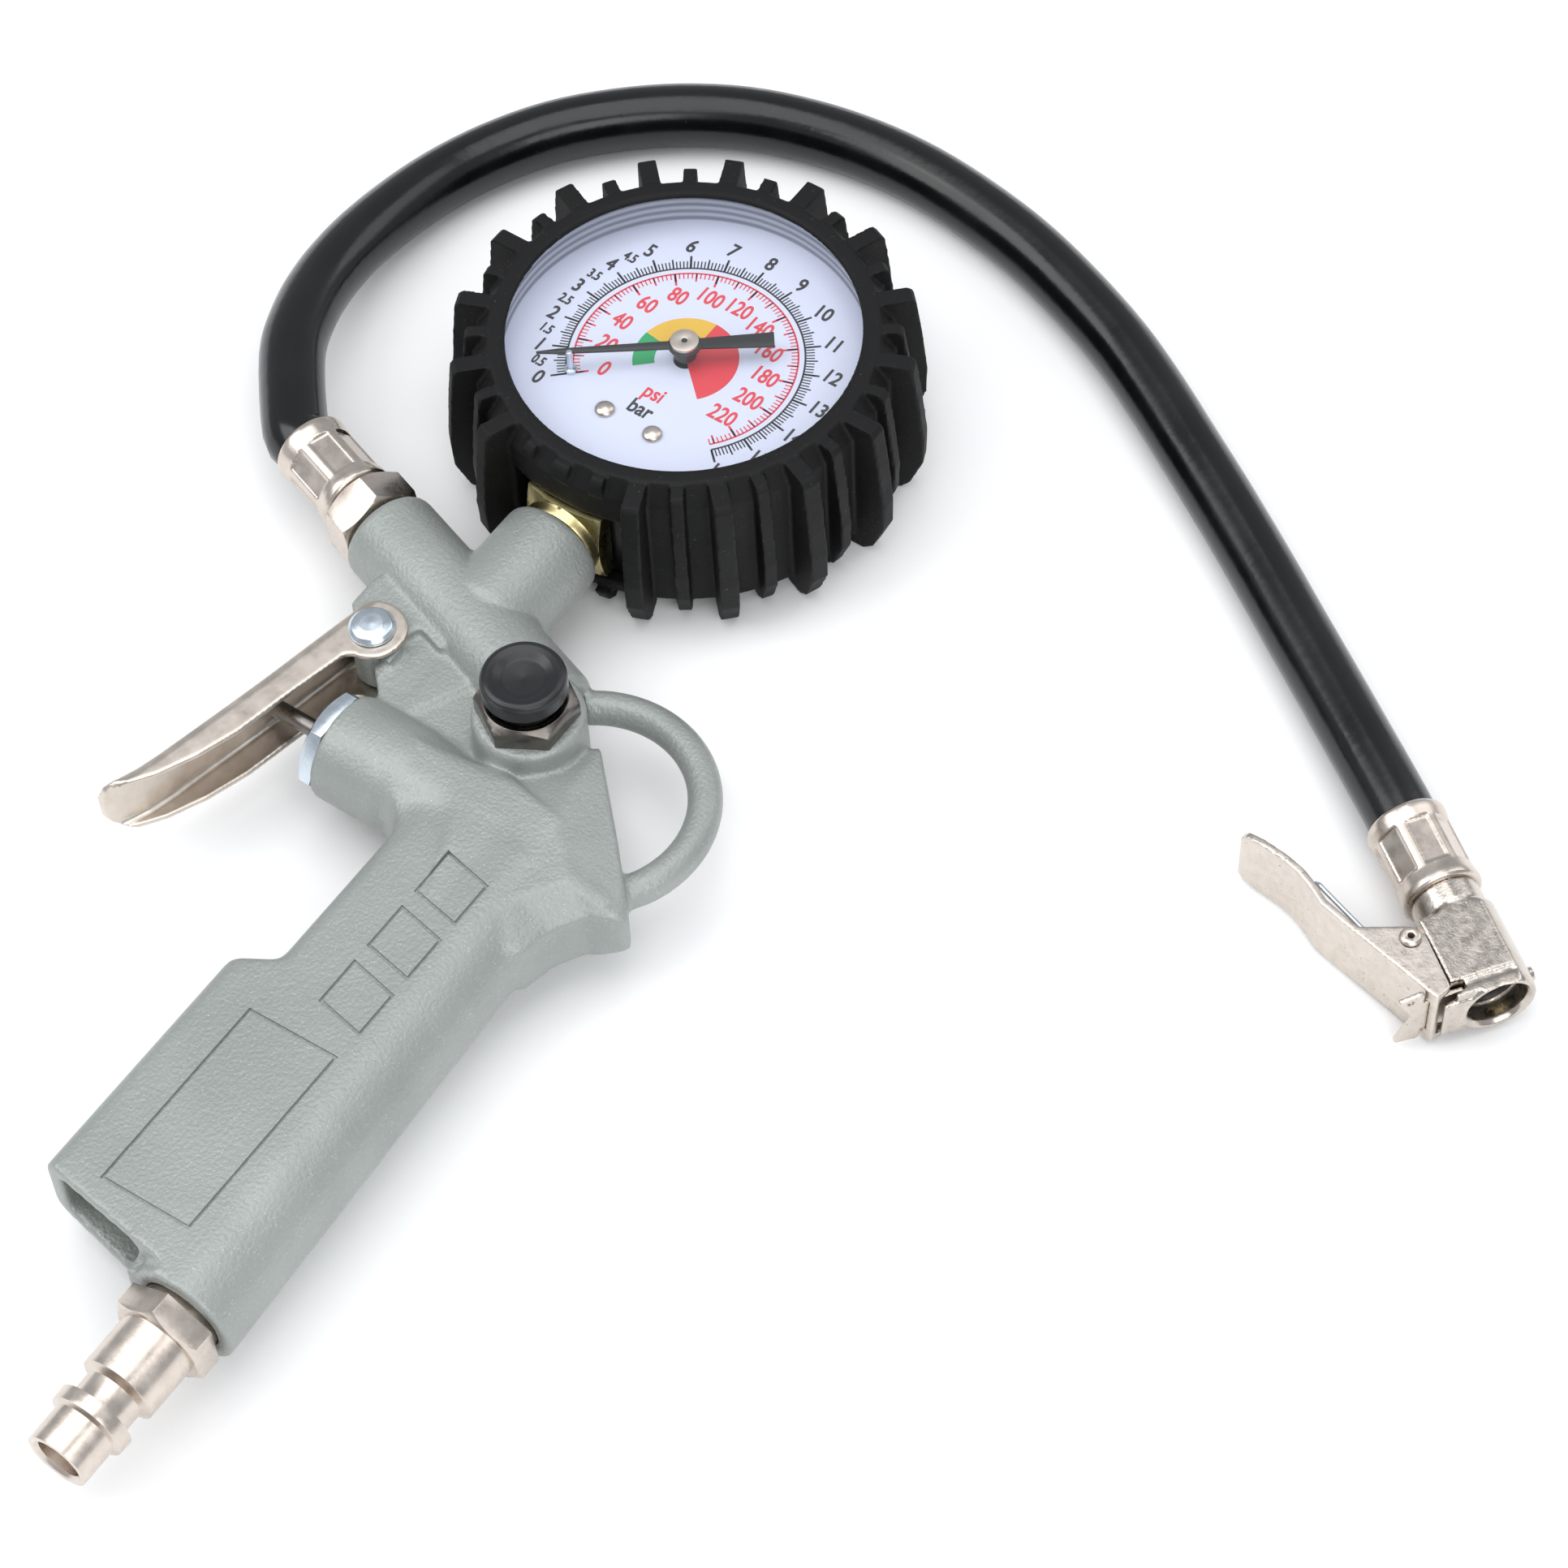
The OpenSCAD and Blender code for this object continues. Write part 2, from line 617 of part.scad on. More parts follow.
module trigger_rivet() color(steel) at_pivot() {
    cylinder(d = rivet_d, h = lever_w + 0.4, center = true);
    for (side = [0, 1])
        mirror([0, 0, side])
            translate([0, 0, lever_w / 2 + 0.1])
                rotate_extrude()
                    polygon([[0, 0], [rivet_head / 2, 0], [rivet_head / 2, 0.5],
                        [rivet_head / 2 - 0.6, 1.1], [rivet_head / 4, 1.5], [0, 1.6]]);
}

// ---------- release button ----------

module release_nut() color(steel) at_button() difference() {
    union() {
        intersection() {
            translate([0, 0, button_boss_z])
                cylinder(d = nut_hex / cos(30), h = nut_t, $fn = 6);
            rotate_extrude()
                polygon([[0, button_boss_z], [nut_hex * 0.58, button_boss_z],
                    [nut_hex * 0.58, nut_top - nut_chamfer], [nut_hex * 0.47, nut_top], [0, nut_top]]);
        }
        translate([0, 0, button_boss_z - 6])
            cylinder(d = release_bore - 2 * fit, h = 7);
    }
    translate([0, 0, button_boss_z - 7])
        cylinder(d = release_stem_d + 2 * run, h = nut_t + 8);
    translate([0, 0, nut_top - nut_recess[1]])
        cylinder(d = nut_recess[0], h = nut_t);
}

module release_button() color(black) at_button()
    translate([0, 0, cap_z])
        difference() {
            rotate_extrude()
                polygon([[0, 0], [button_d / 2, 0], [button_d / 2, cap_t - 1],
                    [button_d / 2 - 0.3, cap_t - 0.3], [button_d / 2 - 1, cap_t],
                    [button_d / 2 - 2, cap_t - 0.2], [button_d / 4, cap_t - 0.8], [0, cap_t - 1]]);
            translate([0, 0, -1])
                cylinder(d = release_stem_d, h = 2.6);
        }

module release_stem() color(steel) at_button() {
    translate([0, 0, button_boss_z - 11])
        cylinder(d = release_stem_d, h = cap_z + 1.6 - button_boss_z + 11);
    translate([0, 0, button_boss_z - 9.4])
        cylinder(d = release_bore - 2, h = 2.4);
}

module release_spring() color(black) at_button()
    translate([0, 0, nut_top - nut_recess[1]])
        coil(4.4, 0.9, cap_z - nut_top + nut_recess[1], 3);

// ---------- hose ----------

module crimped_ferrule() difference() {
    turned_x([[0, 0], [0, ferrule_d / 2 - 0.4], [0.5, ferrule_d / 2], [1.4, ferrule_d / 2],
        [3, ferrule_d / 2 - 0.3], [ferrule_len - 3, ferrule_d / 2 - 0.3],
        [ferrule_len - 1.2, ferrule_d / 2], [ferrule_len - 0.4, ferrule_d / 2],
        [ferrule_len, ferrule_d / 2 - 0.4], [ferrule_len, 0]]);
    for (i = [0:6])
        rotate([i * 360 / 7, 0, 0])
            translate([3, -1.9, ferrule_d / 2 - 0.85])
                cube([ferrule_len - 6.5, 3.8, 3]);
    along_x(6, -1, ferrule_len + 1);
}

module hose_barb(from, to) turned_x([[from, 1.8], [from, 2.9], [to, 2.9], [to, 1.8]]);

module hose_fitting() color(nickel) at_hose_tube() {
    difference() {
        union() {
            intersection() {
                hexagon_x(fitting_hex, fitting_gap, fitting_gap + fitting_t);
                turned_x([[fitting_gap, 0], [fitting_gap, fitting_hex / 2],
                    [fitting_gap + 0.7, fitting_hex * 0.58],
                    [fitting_gap + fitting_t - 0.7, fitting_hex * 0.58],
                    [fitting_gap + fitting_t, fitting_hex / 2], [fitting_gap + fitting_t, 0]]);
            }
            along_x(fitting_hex - 3, 0, fitting_gap + fitting_t + neck_gap);
            along_x(thread_d - 3 - 2 * fit, -9, 1);
        }
        along_x(3.6, -10, 20);
    }
    hose_barb(fitting_gap + fitting_t + neck_gap, fitting_gap + fitting_t + neck_gap + ferrule_len - 1);
}

gun_ferrule_s = fitting_gap + fitting_t + neck_gap;

module gun_ferrule() color(nickel) at_hose_tube()
    translate([gun_ferrule_s, 0, 0])
        crimped_ferrule();

// route of the hose from the gun's ferrule to the chuck's ferrule, relative to the valve axis
hose_start = hose_tube_tip + (gun_ferrule_s + ferrule_len) * tube_dir;
lie = floor_z + hose_d / 2;
chuck_dir = [cos(chuck_turn), sin(chuck_turn)];
hose_route = [
    [hose_start.x, hose_start.y, 0],
    [hose_start.x + 4 * tube_dir.x, hose_start.y + 4 * tube_dir.y, 0],
    [56.5, 96, -0.8], [65, 100.6, -2], [74, 103.6, -3.6], [84, 105.2, -5.3], [95, 105.2, -6.9],
    [105.5, 103.6, -7.9], [115.2, 100, lie], [124.8, 94.4, lie], [133, 87, lie], [140, 78.4, lie],
    [145.5, 68.6, lie], [149, 57.8, lie], [150.8, 46.8, lie], [151, 35.8, lie], [149.6, 24.2, lie],
    [147, 12.4, lie], [143, 0.8, lie], [138, -10.8, lie], [132, -21.6, lie], [125.7, -31.8, lie],
    [118.8, -42.8, lie], [111.2, -54.4, lie], [103.9, -65, -7.9], [96.6, -75.6, -7.5],
    [89.4, -85.8, -6.9],
    [chuck_at.x - 4 * chuck_dir.x, chuck_at.y - 4 * chuck_dir.y, chuck_z],
    [chuck_at.x, chuck_at.y, chuck_z]];

module hose() color(black) at_head()
    difference() {
        rod(spline(hose_route, 2), hose_d / 2, 12);
        translate([hose_start.x, hose_start.y, 0])
            rotate([0, 0, hose_tube_angle])
                translate([-10, -20, -20])
                    cube([10, 40, 40]);
        translate([chuck_at.x, chuck_at.y, chuck_z])
            rotate([0, 0, chuck_turn])
                translate([0, -20, -20])
                    cube([10, 40, 40]);
    }

// ---------- chuck ----------

module chuck_ferrule() color(nickel) at_chuck()
    crimped_ferrule();

module chuck_body() color(nickel) at_chuck() difference() {
    union() {
        along_x(10.8, ferrule_len, 19.5);
        turned_x([[18.6, 0], [18.6, 5.6], [19.2, 6.1], [mouth_s - 1, 6.1], [mouth_s, 5.85], [mouth_s, 0]]);
        hose_barb(1, ferrule_len + 1);
        slab(rounded([[18.6, 0, 0], [18.6, 8.4, 2], [chuck_pivot.x - 2.6, chuck_pivot.y + 2.4, 1.5],
            [chuck_pivot.x + 2.2, chuck_pivot.y + 2.4, 2], [27.6, 6, 0], [28, 0, 0]]), lug_half);
        translate([19.4, 0, -chuck_flat])
            cube([mouth_s - 20, 6.8, 2 * chuck_flat]);
        translate([claw_x - 1.6, 0, -claw_half - 0.2])
            cube([mouth_s - claw_x + 1.4, 8.8, 2 * claw_half + 0.4]);
        translate([mouth_s - 3.4, -6.4, 0])
            rotate([90, 0, 0])
                cylinder(d = 2.2, h = 0.9, center = true);
    }
    translate([18, -10, chuck_flat])
        cube([mouth_s - 18 + 5, 20, 5]);
    along_x(chuck_bore, 24, mouth_s);
    along_x(mouth_d, mouth_floor, mouth_s + 4);
    turned_x([[mouth_s - 0.7, mouth_d / 2 - eps], [mouth_s + 4, mouth_d / 2 - eps],
        [mouth_s + 4, mouth_d / 2 + 0.6], [mouth_s, mouth_d / 2 + 0.6]]);
    along_x(3.6, 0, 25);
    translate([claw_x - 0.3, -3.2, chuck_flat - 0.35])
        cube([1.4, 10, 4]);
    slab([[claw_x - run, 4.8], [claw_x + claw_t + run, 4.8], [claw_x + 1.7, 6.3], [claw_x + 2.1, 9],
        [claw_x - run, 9]], 7);
    translate([chuck_pivot.x, chuck_pivot.y, -10])
        cylinder(d = 2 + 2 * fit, h = 20);
}

module chuck_seal() color(black) at_chuck() difference() {
    along_x(chuck_bore - 2 * fit, 26.6, mouth_floor - fit);
    along_x(core_d + 0.2, 26, mouth_s);
}

module core_depressor() color(brass) at_chuck() difference() {
    union() {
        along_x(chuck_bore - 2 * fit, 24 + fit, 26.6);
        along_x(core_d - 0.2, 26, 29);
        along_x(1.6, 28, mouth_floor - fit);
    }
    for (a = [0:120:240])
        rotate([a, 0, 0])
            translate([0, 1.7, 0])
                along_x(1.2, 23, 30);
}

// outer line of the chuck lever's back plate, from the thumb pad to the claw end
claw_line = [[-3.2, 25.6], [-2.4, 25.1], [0, 23.6], [3.5, 21.6], [6.5, 20.4], [9.5, 19.8], [12.5, 19.5],
    [16.5, 17.8], [22, 15.3], [28, 12.6], [33.6, 10.1]];

function strip_ring(p, n, half) = [for (s = [[-half, 0], [half, 0], [half, -claw_sheet], [-half, -claw_sheet]])
    [p.x + n.x * s.y, p.y + n.y * s.y, s.x]];

module claw_strip() {
    last = len(claw_line) - 1;
    skin([for (i = [0:last])
        let (t = unit(claw_line[min(i + 1, last)] - claw_line[max(i - 1, 0)]))
        strip_ring(claw_line[i], [-t.y, t.x], i == 0 ? chuck_half - 1.6 : i == 1 ? chuck_half - 0.4 : chuck_half)]);
}

module chuck_lever() color(nickel) at_chuck() difference() {
    union() {
        claw_strip();
        for (side = [0, 1])
            mirror([0, 0, side])
                translate([0, 0, chuck_half - claw_sheet])
                    linear_extrude(claw_sheet)
                        polygon(rounded([[16.8, 17.2, 0.5], [18.3, 15.4, 3], [20.6, 8.9, 1.6],
                            [22.8, 7.2, 1.6], [32.6, 7.4, 1.2], [33.4, 9.6, 0.6]], 4));
    }
    translate([claw_x - fit, 7, -claw_half - fit])
        cube([claw_t + 2 * fit, 6, 2 * (claw_half + fit)]);
    translate([chuck_pivot.x, chuck_pivot.y, -10])
        cylinder(d = 2 + 2 * run, h = 20);
}

// a plate that grips the tyre's valve, with two horns over the lever's back
module chuck_claw() color(nickel) at_chuck()
    translate([claw_x, 0, 0])
        rotate([90, 0, 90])
            linear_extrude(claw_t)
                difference() {
                    union() {
                        translate([4.95, -claw_half])
                            square([8, 2 * claw_half]);
                        polygon(rounded([[11.3, -6.1, 0.6], [15.6, -5.4, 0.5], [12.8, 0, 0.4],
                            [15.6, 5.4, 0.5], [11.3, 6.1, 0.6]], 3));
                    }
                    translate([13.4, 4.4])
                        circle(d = 1);
                }

module chuck_rivet() color(nickel) at_chuck()
    translate([chuck_pivot.x, chuck_pivot.y, 0])
        difference() {
            union() {
                cylinder(d = 2, h = 2 * chuck_half + 0.4, center = true);
                for (side = [0, 1])
                    mirror([0, 0, side])
                        translate([0, 0, chuck_half + 0.1])
                            rotate_extrude()
                                polygon([[0, 0], [1.7, 0], [1.7, 0.3], [1.3, 0.6], [0, 0.6]]);
            }
            cylinder(d = 1, h = 20, center = true);
        }

// spring leg on one side: a short foot, two turns round the rivet, a leg to the thumb pad
function spring_side(side) = [
    [2.6, -2.2, side * 2.4], [2.3, -1.5, side * 2.4],
    for (a = [-20:24:772]) [spring_r * cos(a), spring_r * sin(a), side * (2.4 + 2 * (a + 20) / 792)],
    for (p = [[-5.2, 5.5], [-14.2, 8.3]]) [p.x, p.y, side * 4.4]];

module chuck_spring() color(steel) at_chuck()
    translate([chuck_pivot.x, chuck_pivot.y, 0]) {
        for (side = [-1, 1])
            rod(spring_side(side), spring_wire / 2, 6);
        rod([[-14.2, 8.3, -4.4], [-14.9, 8.6, -3.9], [-15.1, 8.7, -3], [-15.1, 8.7, 3],
            [-14.9, 8.6, 3.9], [-14.2, 8.3, 4.4]], spring_wire / 2, 6);
    }

// ---------- gauge ----------

module gauge_socket() color(brass) at_gauge() {
    start = gauge_tube_tip - gauge_x;
    difference() {
        union() {
            intersection() {
                translate([start + 0.6, -stem_hex / 2, -stem_hex / 2])
                    cube([-case_r - fit - start - 0.6, stem_hex, stem_hex]);
                turned_x([[start, 0], [start, stem_hex / 2 - 0.5], [start + 2.2, stem_hex / 2],
                    [start + 3.4, stem_hex * 0.71], [0, stem_hex * 0.71], [0, 0]]);
            }
            along_x(thread_d - 3 - 2 * fit, start - 9, start + 2);
            along_x(socket_d, -case_r - 1, 5 - case_r);
            translate([3 - case_r, -stem_hex / 2, -5])
                cube([case_r + screw_at.x, stem_hex, dial_z - dial_t + 5]);
        }
        along_x(3, start - 10, 10 - case_r);
        for (side = [-1, 1])
            translate([screw_at.x, side * screw_at.y, 2])
                cylinder(d = 1.8, h = 10);
    }
}

module gauge_case() color(steel) at_gauge() difference() {
    translate([0, 0, case_back])
        cylinder(r = case_r, h = window_z - case_back);
    translate([0, 0, case_back + case_wall])
        cylinder(r = case_r - case_wall, h = 40);
    along_x(socket_d + 2 * fit, -case_r - 1, -case_r / 2);
}

function rib_profile(cut) = let (r = boot_r + rib_reach - cut) [
    [chamfer_r, lip_top - 0.4], [chamfer_r + 0.6, lip_top - 0.2], [r - 2.4, lip_top - 0.2],
    [r - 1.7, lip_top - 1], [r - 0.8, 8], [r, -1], [r - 0.2, -6.5], [r - 2.4, floor_z + 1.5],
    [r - 4.2, floor_z], [case_r + fit + 0.4, floor_z], [case_r + fit + 0.4, 12]];

module boot_rib(angle, width, cut, low, high) rotate([0, 0, angle])
    intersection() {
        rotate([90, 0, 0])
            linear_extrude(width, center = true)
                polygon(rib_profile(cut));
        translate([0, -width, low])
            cube([2 * boot_r, 2 * width, high - low]);
    }

module gauge_boot() color(black) at_gauge() {
    step = 360 / rib_count;
    difference() {
        union() {
            rotate_extrude()
                polygon([[tube_r, wall_back], [boot_r - 0.8, wall_back], [boot_r, wall_back + 0.8],
                    [boot_r, 12.8], [chamfer_r, lip_top], [lip_r + 0.5, lip_top],
                    [lip_r, lip_top - 0.5], [lip_r, lip_z], [case_r + fit, lip_z],
                    [case_r + fit, case_back], [tube_r, case_back]]);
            for (i = [0:rib_count - 1])
                let (broad = i % 2 == 0, w = broad ? broad_rib : narrow_rib, cut = broad ? 0 : narrow_cut,
                     near = abs(i * step - 180) < 20) {
                    if (near) {
                        boot_rib(i * step, w, rib_reach - 1.7, 13, 20);
                        boot_rib(i * step, w, cut, floor_z, -9.4);
                    } else {
                        boot_rib(i * step, w, cut, floor_z, 20);
                    }
                }
        }
        translate([-boot_r - 10, -boot_window.x / 2, 7.5 - boot_window.y])
            cube([20, boot_window.x, boot_window.y]);
    }
}

module bourdon_tube() color(brass) at_gauge()
    rotate([0, 0, tube_from])
        rotate_extrude(angle = tube_to - tube_from)
            translate([tube_r, 0])
                square([tube_t, 6], center = true);

module movement_frame() color(brass) at_gauge() difference() {
    union() {
        for (z = [-3.6, 2.6])
            translate([0, 0, z])
                linear_extrude(1)
                    polygon(rounded([[-12.4, -6, 1], [-6, -18, 2], [6, -18, 2], [6, 5, 2], [-12.4, 6, 1]]));
        for (p = [[-9.5, -3], [-3.5, -15.5], [2.6, 2.5]])
            translate([p.x, p.y, -3])
                cylinder(d = 2, h = 6);
    }
    for (p = [[0, 0], sector_at])
        translate([p.x, p.y, -10])
            cylinder(d = shaft_d + 2 * fit, h = 20);
}

module sector_gear() color(brass) at_gauge() translate([sector_at.x, sector_at.y, 0]) {
    translate([0, 0, -0.5])
        linear_extrude(1)
            difference() {
                intersection() {
                    circle(sector_r);
                    polygon([[0, -1], [1, -1], [11, 14], [-1, 14], [-1, 0]]);
                }
                circle(2);
            }
    translate([0, 0, -0.5])
        linear_extrude(1)
            polygon(rounded([[0, 2.2, 0], [-1.6, 0, 0], [0, -2.4, 0], [6.4, -1.2, 0.8], [6.4, 1.2, 0.8]]));
    cylinder(d = shaft_d, h = 8, center = true);
    translate([sector_pin, 0, -0.5])
        cylinder(d = 0.9, h = 2);
}

module tube_link() color(steel) at_gauge()
    translate([sector_at.x + sector_pin, sector_at.y, 0.6])
        linear_extrude(0.5)
            difference() {
                polygon(rounded([[-1, -1, 0.8], [0.8, link_len, 0.8], [2.8, link_len, 0.8], [1, -1, 0.8]]));
                circle(d = 0.9 + 2 * fit);
            }

module pinion_shaft() color(steel) at_gauge() {
    translate([0, 0, -4.4])
        cylinder(d = shaft_d, h = dial_z + 7);
    translate([0, 0, -1])
        cylinder(r = pinion_r, h = 2);
}

module dial_plate() color("white") at_gauge()
    translate([0, 0, dial_z - dial_t])
        linear_extrude(dial_t)
            difference() {
                circle(case_r - case_wall - fit);
                circle(d = 4);
                for (side = [-1, 1])
                    translate([screw_at.x, side * screw_at.y])
                        circle(d = 2);
                rotate([0, 0, pin_angle])
                    translate([pin_r, 0])
                        circle(d = 1.2);
            }

module dial_screws() color(steel) at_gauge()
    for (side = [-1, 1])
        translate([screw_at.x, side * screw_at.y, 0]) {
            translate([0, 0, dial_z])
                rotate_extrude()
                    polygon([[0, 0], [1.7, 0], [1.6, 0.4], [1.1, 0.8], [0.5, 1], [0, 1.05]]);
            translate([0, 0, 3])
                cylinder(d = 1.6, h = dial_z - 3 + 0.2);
        }

module stop_pin() color(steel) at_gauge()
    rotate([0, 0, pin_angle])
        translate([pin_r, 0, 0]) {
            translate([0, 0, dial_z - 2])
                cylinder(d = 1, h = window_z - run - dial_z + 2);
            translate([0, 0, dial_z])
                cylinder(d = 2, h = 0.8);
        }

module pointer() color(black) at_gauge() rotate([0, 0, pointer_rest]) {
    translate([0, 0, dial_z + 3.3])
        linear_extrude(0.5)
            difference() {
                union() {
                    polygon([[0, 0.8], [20, 0.45], [23.5, 0.12], [23.5, -0.12], [20, -0.45], [0, -0.8]]);
                    polygon([[-14.2, 1.45], [0, 0.9], [0, -0.9], [-14.2, -1.45]]);
                    circle(d = 5.3);
                }
                circle(d = shaft_d);
            }
    translate([0, 0, dial_z + 1])
        difference() {
            cylinder(d = 3.6, h = window_z - run - dial_z - 1);
            translate([0, 0, -1])
                cylinder(d = shaft_d, h = 2.6);
        }
}

module gauge_window() color([0.8, 0.9, 0.95, 0.3]) at_gauge()
    translate([0, 0, window_z])
        cylinder(r = case_r, h = window_t);

body_casting();
inlet_nipple();
nipple_seal();
valve_plug();
valve_stem();
valve_poppet();
valve_spring();
trigger_lever();
trigger_rivet();
release_nut();
release_button();
release_stem();
release_spring();
hose_fitting();
gun_ferrule();
hose();
chuck_ferrule();
chuck_body();
chuck_seal();
core_depressor();
chuck_lever();
chuck_claw();
chuck_rivet();
chuck_spring();
gauge_socket();
gauge_case();
gauge_boot();
bourdon_tube();
movement_frame();
sector_gear();
tube_link();
pinion_shaft();
dial_plate();
dial_screws();
stop_pin();
pointer();
gauge_window();
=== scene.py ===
"""Portable tire inflator: finishes, soft edges and the printed dial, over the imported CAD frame."""

import json
import math

import bpy
from mathutils import Matrix, Vector

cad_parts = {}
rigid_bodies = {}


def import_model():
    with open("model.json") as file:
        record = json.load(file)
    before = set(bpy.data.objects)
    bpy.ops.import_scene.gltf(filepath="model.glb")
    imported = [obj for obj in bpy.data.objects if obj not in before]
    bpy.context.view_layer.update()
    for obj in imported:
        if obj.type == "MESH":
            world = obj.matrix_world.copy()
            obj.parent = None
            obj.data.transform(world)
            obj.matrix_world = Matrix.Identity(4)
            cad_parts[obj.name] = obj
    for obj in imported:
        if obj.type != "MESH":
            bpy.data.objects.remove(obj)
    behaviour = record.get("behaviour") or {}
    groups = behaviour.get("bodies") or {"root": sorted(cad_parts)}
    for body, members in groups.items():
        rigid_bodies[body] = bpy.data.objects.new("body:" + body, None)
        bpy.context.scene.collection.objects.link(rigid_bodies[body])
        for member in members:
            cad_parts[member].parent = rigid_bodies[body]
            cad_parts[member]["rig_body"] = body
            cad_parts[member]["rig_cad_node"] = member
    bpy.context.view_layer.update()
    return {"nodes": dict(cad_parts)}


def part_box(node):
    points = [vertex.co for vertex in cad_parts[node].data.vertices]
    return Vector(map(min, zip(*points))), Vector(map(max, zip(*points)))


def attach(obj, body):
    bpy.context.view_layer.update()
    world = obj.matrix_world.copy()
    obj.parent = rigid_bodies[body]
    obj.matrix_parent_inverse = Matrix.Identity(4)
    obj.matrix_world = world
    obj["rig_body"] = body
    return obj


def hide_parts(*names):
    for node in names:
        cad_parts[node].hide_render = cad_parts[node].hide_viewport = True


bl_info = {
    "name": "Tire inflator",
    "version": (1, 0, 0),
    "blender": (4, 5, 0),
    "location": "View3D > Sidebar > Inflator",
    "description": "Dresses the tire inflator's frame piece by piece",
    "category": "Object",
}

MM = 0.001
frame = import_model()
NODES = frame["nodes"]

# ---------- values shared with the part's source, in millimetres ----------

HEAD = Vector((116.5, 0, 0))                 # valve axis
FLOOR_Z = -13.5
HOSE_TUBE_ANGLE = 71.5
HOSE_TUBE_TIP = Vector((36.1, 60.6))
FERRULE_START = 7.8                          # from the hose tube's end to its ferrule
FERRULE_LEN = 14.5
CHUCK_AT = Vector((80.8, -97.9))
CHUCK_TURN = 234
CHUCK_Z = -6.5
LIE = FLOOR_Z + 5.4                          # height of the lying hose's centre line
INLET_END = 27                               # where the nipple ends and the grip begins
GRIP_R = 8.9                                 # height of the grip's flat face at its thick edge
GRIP_EDGE = 6.3                              # its height at the thin edge
GRIP_FRONT = 29.2                            # from one edge to the other
SPUR = Vector((-3.5, -15, 0))                # tip of the head's spur, from the valve axis
BAR_PER_PSI = 0.0689476


def direction(degrees):
    """Flat unit vector at this angle from +X."""
    return Vector((math.cos(math.radians(degrees)), math.sin(math.radians(degrees))))


def hose_route():
    """Centre line of the hose from one ferrule to the other, relative to the valve axis."""
    lead = 4                                 # straight part inside each ferrule
    start = HOSE_TUBE_TIP + (FERRULE_START + FERRULE_LEN) * direction(HOSE_TUBE_ANGLE)
    away = start + lead * direction(HOSE_TUBE_ANGLE)
    last = CHUCK_AT - lead * direction(CHUCK_TURN)
    return [
        (start.x, start.y, 0), (away.x, away.y, 0),
        (56.5, 96, -0.8), (65, 100.6, -2), (74, 103.6, -3.6), (84, 105.2, -5.3), (95, 105.2, -6.9),
        (105.5, 103.6, -7.9), (115.2, 100, LIE), (124.8, 94.4, LIE), (133, 87, LIE),
        (140, 78.4, LIE), (145.5, 68.6, LIE), (149, 57.8, LIE), (150.8, 46.8, LIE),
        (151, 35.8, LIE), (149.6, 24.2, LIE), (147, 12.4, LIE), (143, 0.8, LIE),
        (138, -10.8, LIE), (132, -21.6, LIE), (125.7, -31.8, LIE), (118.8, -42.8, LIE),
        (111.2, -54.4, LIE), (103.9, -65, -7.9), (96.6, -75.6, -7.5), (89.4, -85.8, -6.9),
        (last.x, last.y, CHUCK_Z), (CHUCK_AT.x, CHUCK_AT.y, CHUCK_Z),
    ]


def smooth_line(points, steps):
    """The smooth curve through the points, as the part's source draws it."""
    pts = [Vector(p) for p in points]
    last = len(pts) - 1
    line = []
    for i in range(last):
        a, b, c, d = pts[max(i - 1, 0)], pts[i], pts[i + 1], pts[min(i + 2, last)]
        for k in range(steps):
            t = k / steps
            line.append(0.5 * (2 * b + (c - a) * t + (2 * a - 5 * b + 4 * c - d) * t * t
                               + (3 * b - a - 3 * c + d) * t ** 3))
    return line + [pts[-1]]


def hose_line():
    """Centre line of the hose in the frame, in metres."""
    return [(p + HEAD) * MM for p in smooth_line(hose_route(), 4)]


# ---------- modelling helpers ----------


def activate(obj):
    """Selects this object alone and makes it the active one."""
    bpy.ops.object.select_all(action="DESELECT")
    obj.select_set(True)
    bpy.context.view_layer.objects.active = obj


def modify(obj, kind, **settings):
    """Adds a modifier with these settings and applies it."""
    activate(obj)
    bpy.ops.object.modifier_add(type=kind)
    modifier = obj.modifiers[-1]
    for key, value in settings.items():
        setattr(modifier, key, value)
    bpy.ops.object.modifier_apply(modifier=modifier.name)


def named(name):
    """Names the active object and its data."""
    obj = bpy.context.object
    obj.name = name
    obj.data.name = name
    return obj


def settle(obj):
    """Puts the place, turn and size of an object into its mesh."""
    activate(obj)
    bpy.ops.object.transform_apply(location=True, rotation=True, scale=True)


def edit(obj, mode, select=None):
    """Opens edit mode with what the test selects: everything when there is no test."""
    activate(obj)
    bpy.ops.object.mode_set(mode="EDIT")
    bpy.ops.mesh.select_mode(type=mode)
    bpy.ops.mesh.select_all(action="SELECT" if select is None else "DESELECT")
    if select is not None:
        bpy.ops.object.mode_set(mode="OBJECT")
        items = {"VERT": obj.data.vertices, "EDGE": obj.data.edges, "FACE": obj.data.polygons}[mode]
        for item in items:
            item.select = select(item)
        bpy.ops.object.mode_set(mode="EDIT")


def leave_edit():
    """Back to object mode."""
    bpy.ops.object.mode_set(mode="OBJECT")


def merge(obj, distance=0.001):
    """Joins points that lie closer than this many millimetres."""
    edit(obj, "VERT")
    bpy.ops.mesh.remove_doubles(threshold=distance * MM)
    leave_edit()


def copy_of(node, name):
    """A merged copy of a CAD node's mesh, free of the frame."""
    activate(NODES[node])
    bpy.ops.object.duplicate()
    obj = named(name)
    obj.parent = None
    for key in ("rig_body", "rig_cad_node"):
        if key in obj:
            del obj[key]
    obj.data.materials.clear()
    merge(obj)
    return obj


